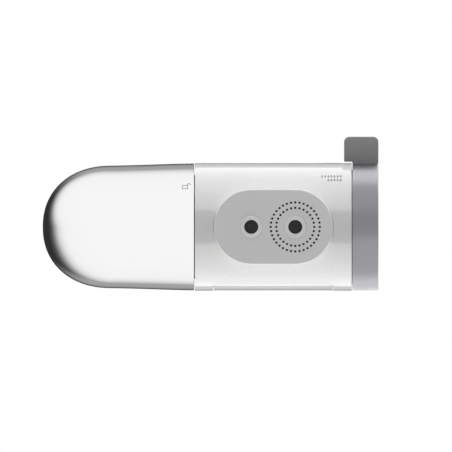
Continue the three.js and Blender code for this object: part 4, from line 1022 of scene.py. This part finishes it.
def bow(u, v, radius, line, start, end, steps=16):
    """Part of a ring as a closed outline."""
    outer = arc((u, v), radius + line / 2, start, end, steps)
    inner = arc((u, v), radius - line / 2, end, start, steps)
    return outer + inner


def drop(u, v, size, steps=20):
    """A drop that points towards lower v."""
    outline = []
    for i in range(steps):
        a = math.tau * i / steps
        outline.append((u + size * 0.62 * math.sin(a) * math.sin(a / 2), v - size * math.cos(a)))
    return outline


def padlock(u, v, closed):
    """An outlined padlock, its shackle to one side when open."""
    size, line = LOCK_SIZE, LOCK_LINE
    height, reach, leg = size * 0.74, size * 0.31, size * 0.14
    top = v - height / 2 - size * 0.16
    shift = 0 if closed else size * 0.74
    lines = [bar(u, v - height / 2, size, line), bar(u, v + height / 2, size, line),
             bar(u - size / 2, v, line, height + line), bar(u + size / 2, v, line, height + line),
             bow(u + shift, top, reach, line, 180, 360), bar(u + shift - reach, top + leg / 2, line, leg)]
    if closed:
        lines.append(bar(u + reach, top + leg / 2, line, leg))
    return lines


SPRAY_DROPS = [drop(MODE_RIGHT - 1.5 * i, row, 0.95)
               for row, count in ((-1.4, 7), (1.4, 5)) for i in range(count)]
STRAIGHT_BARS = [bar(0.6, 1.3 * row, 8.2, 0.4) for row in (-1, 0, 1)]
FILTERED_DROP = [drop(MODE_RIGHT - 1.2, 0, 2.1)]
MARKS = (
    ("mark_spray", SPRAY_DROPS, MODE_X, TAB_ANGLE + MODE_STEP, body_radius, "body"),
    ("mark_straight", STRAIGHT_BARS, MODE_X, TAB_ANGLE, body_radius, "body"),
    ("mark_filtered", FILTERED_DROP, MODE_X, TAB_ANGLE - MODE_STEP, body_radius, "body"),
    ("mark_open", padlock(-0.9, 0.8, False), LOCK_X, -40.5, cover_radius, "cover"),
    ("mark_locked", padlock(0, 0.8, True), LOCK_X, -85.5, cover_radius, "cover"),
)
for name, shapes, x, angle, surface, body in MARKS:
    finish(decal(name, shapes, x, angle, surface), "liner_grey", body, look="print")

# ------------------------------ camera

PIXEL = 0.4863  # millimetres on the object for each pixel across
PICTURE = 452
CENTRE = (-22.98, -0.44)
camera = bpy.data.objects.new("camera", bpy.data.cameras.new("camera"))
camera.data.type = "ORTHO"
camera.data.ortho_scale = PICTURE * PIXEL * MM
camera.data.clip_start, camera.data.clip_end = 0.01, 20
camera.location = (CENTRE[0] * MM, CENTRE[1] * MM, -0.5)
camera.rotation_mode = "QUATERNION"
camera.rotation_quaternion = Quaternion((1, 0, 0), math.pi)
bpy.context.scene.collection.objects.link(camera)
bpy.context.scene.camera = camera

# ------------------------------ studio, in metres

scene = bpy.context.scene
scene.view_settings.view_transform = "Standard"
scene.view_settings.look = "None"

# How bright the surroundings are in reflections, from straight behind (-1) to straight below (1).
SURROUND = (
    (-0.60, 0.03), (-0.41, 0.09), (-0.235, 0.34), (-0.07, 0.69), (0.12, 0.90), (0.30, 0.97), (1.0, 1.0),
)
# How much the sideways directions add to that, and the lower and upper ones beyond the cover's tip.
SURROUND_WIDE = 0.65
SURROUND_LOW = -0.7
SURROUND_HIGH = 0.4
SURROUND_BACK = 0.38
SURROUND_RIGHT = 0.62


def studio_world():
    """White to the camera. In reflections it is bright in front, darker behind and past the cover's tip."""
    world = bpy.data.worlds.new("studio")
    scene.world = world
    world.use_nodes = True
    world.cycles_visibility.diffuse = False
    tree = world.node_tree
    tree.nodes.clear()

    def sums(kind, *values):
        node = tree.nodes.new("ShaderNodeMath")
        node.operation = kind
        for socket, value in zip(node.inputs, values):
            if isinstance(value, (int, float)):
                socket.default_value = value
            else:
                tree.links.new(value, socket)
        return node.outputs[0]

    def step(value, start, end, low=0.0, high=1.0):
        node = tree.nodes.new("ShaderNodeMapRange")
        node.interpolation_type = "SMOOTHSTEP"
        for name, number in zip(("From Min", "From Max", "To Min", "To Max"), (start, end, low, high)):
            node.inputs[name].default_value = number
        tree.links.new(value, node.inputs["Value"])
        return node.outputs["Result"]

    place = tree.nodes.new("ShaderNodeTexCoord")
    split = tree.nodes.new("ShaderNodeSeparateXYZ")
    tree.links.new(place.outputs["Generated"], split.inputs[0])
    x, y, z = split.outputs
    wide = sums("ABSOLUTE", y)
    left = sums("MAXIMUM", sums("MULTIPLY", x, -1.0), 0.0)
    low = sums("MULTIPLY", sums("MAXIMUM", y, 0.0), left)
    high = sums("MULTIPLY", sums("MAXIMUM", sums("MULTIPLY", y, -1.0), 0.0), left)
    reach = sums("SUBTRACT", sums("MULTIPLY", wide, SURROUND_WIDE), z)
    reach = sums("ADD", reach, sums("MULTIPLY", low, SURROUND_LOW))
    reach = sums("ADD", reach, sums("MULTIPLY", high, SURROUND_HIGH))
    ramp = tree.nodes.new("ShaderNodeValToRGB")
    elements = ramp.color_ramp.elements
    while len(elements) < len(SURROUND):
        elements.new(0.5)
    for element, (value, brightness) in zip(elements, SURROUND):
        element.position = value / 2 + 0.5
        element.color = (brightness,) * 3 + (1,)
    tree.links.new(sums("ADD", sums("MULTIPLY", reach, 0.5), 0.5), ramp.inputs[0])
    back = sums("MULTIPLY", step(wide, 0.1, 0.6, 0.0, SURROUND_BACK), step(left, 0.15, 0.6, 1.0, 0.0))
    right = step(x, 0.15, 0.8, 0.0, SURROUND_RIGHT)
    bright = sums("MAXIMUM", sums("MAXIMUM", ramp.outputs[0], back), right)
    seen = tree.nodes.new("ShaderNodeLightPath")
    total = sums("MAXIMUM", bright, seen.outputs["Is Camera Ray"])
    background = tree.nodes.new("ShaderNodeBackground")
    background.inputs["Color"].default_value = (1, 1, 1, 1)
    tree.links.new(total, background.inputs["Strength"])
    output = tree.nodes.new("ShaderNodeOutputWorld")
    tree.links.new(background.outputs[0], output.inputs[0])


studio_world()
RADIANCE = math.pi  # watts per square metre for a radiance of one
LIGHTS_AT = (-0.02, 0, AXIS_Z * MM)


def panel(name, angle, half_angle, distance, length, radiance, kind, only=None):
    """A long soft box beside the barrel, for diffuse or for glossy light. Angles are in degrees from straight
    below, towards +Y. Only the pieces of the given collection are lit by it."""
    lamp = bpy.data.lights.new(name, "AREA")
    lamp.shape = "RECTANGLE"
    lamp.size = length
    lamp.size_y = 2 * distance * math.tan(math.radians(half_angle))
    lamp.energy = radiance * RADIANCE * lamp.size * lamp.size_y
    light = bpy.data.objects.new(name, lamp)
    scene.collection.objects.link(light)
    a = math.radians(angle)
    offset = Vector((0, math.sin(a) * distance, -math.cos(a) * distance))
    light.location = Vector(LIGHTS_AT) + offset
    light.rotation_mode = "QUATERNION"
    light.rotation_quaternion = (-offset).to_track_quat("-Z", "Y")
    light.visible_camera = False
    light.visible_diffuse, light.visible_glossy = kind == "diffuse", kind == "glossy"
    if only is not None:
        light.light_linking.receiver_collection = only


plastics = bpy.data.collections.new("plastics")
greys = bpy.data.collections.new("greys")
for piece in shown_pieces():
    if piece.name in ("selector_rim", "selector_disc"):
        greys.objects.link(piece)
    elif piece.name != "cover_skin":
        plastics.objects.link(piece)

for side in (-1, 1):
    panel(f"gloss_{side}", side * 82.5, 52.5, 0.45, 2.2, 2.35, "glossy", plastics)
    panel(f"soft_{side}", side * 75, 25, 0.6, 2.4, 1.9, "diffuse")
panel("rim_high", -132, 45, 0.45, 1.6, 1.75, "glossy", greys)
panel("rim_low", 135, 36, 0.45, 1.6, 1.75, "glossy", greys)
panel("wash_high", -62, 34, 0.45, 1.6, 0.35, "glossy", greys)
panel("wash_low", 58, 40, 0.45, 1.6, 0.55, "glossy", greys)
panel("front_fill", 0, 24, 0.6, 1.6, 0.37, "diffuse")
panel("top_fill", 180, 40, 0.7, 1.6, 0.75, "diffuse")


def floor():
    """A pale floor below the object, for the views from other sides."""
    half, height = 6.0, -0.75
    corners = [(-half, -half, height), (half, -half, height), (half, half, height), (-half, half, height)]
    mesh = bpy.data.meshes.new("floor")
    mesh.from_pydata(corners, [], [(0, 1, 2, 3)])
    ground = bpy.data.objects.new("floor", mesh)
    scene.collection.objects.link(ground)
    f = Finish("floor", (0.9, 0.9, 0.9, 1), 0.8, Emission_Color=(1, 1, 1, 1), Emission_Strength=0.55)
    f.vary_colour(f.noise(3, 3), (0.89, 0.89, 0.888, 1))
    mesh.materials.append(f.material)
    ground.visible_glossy = ground.visible_diffuse = ground.visible_shadow = False


floor()
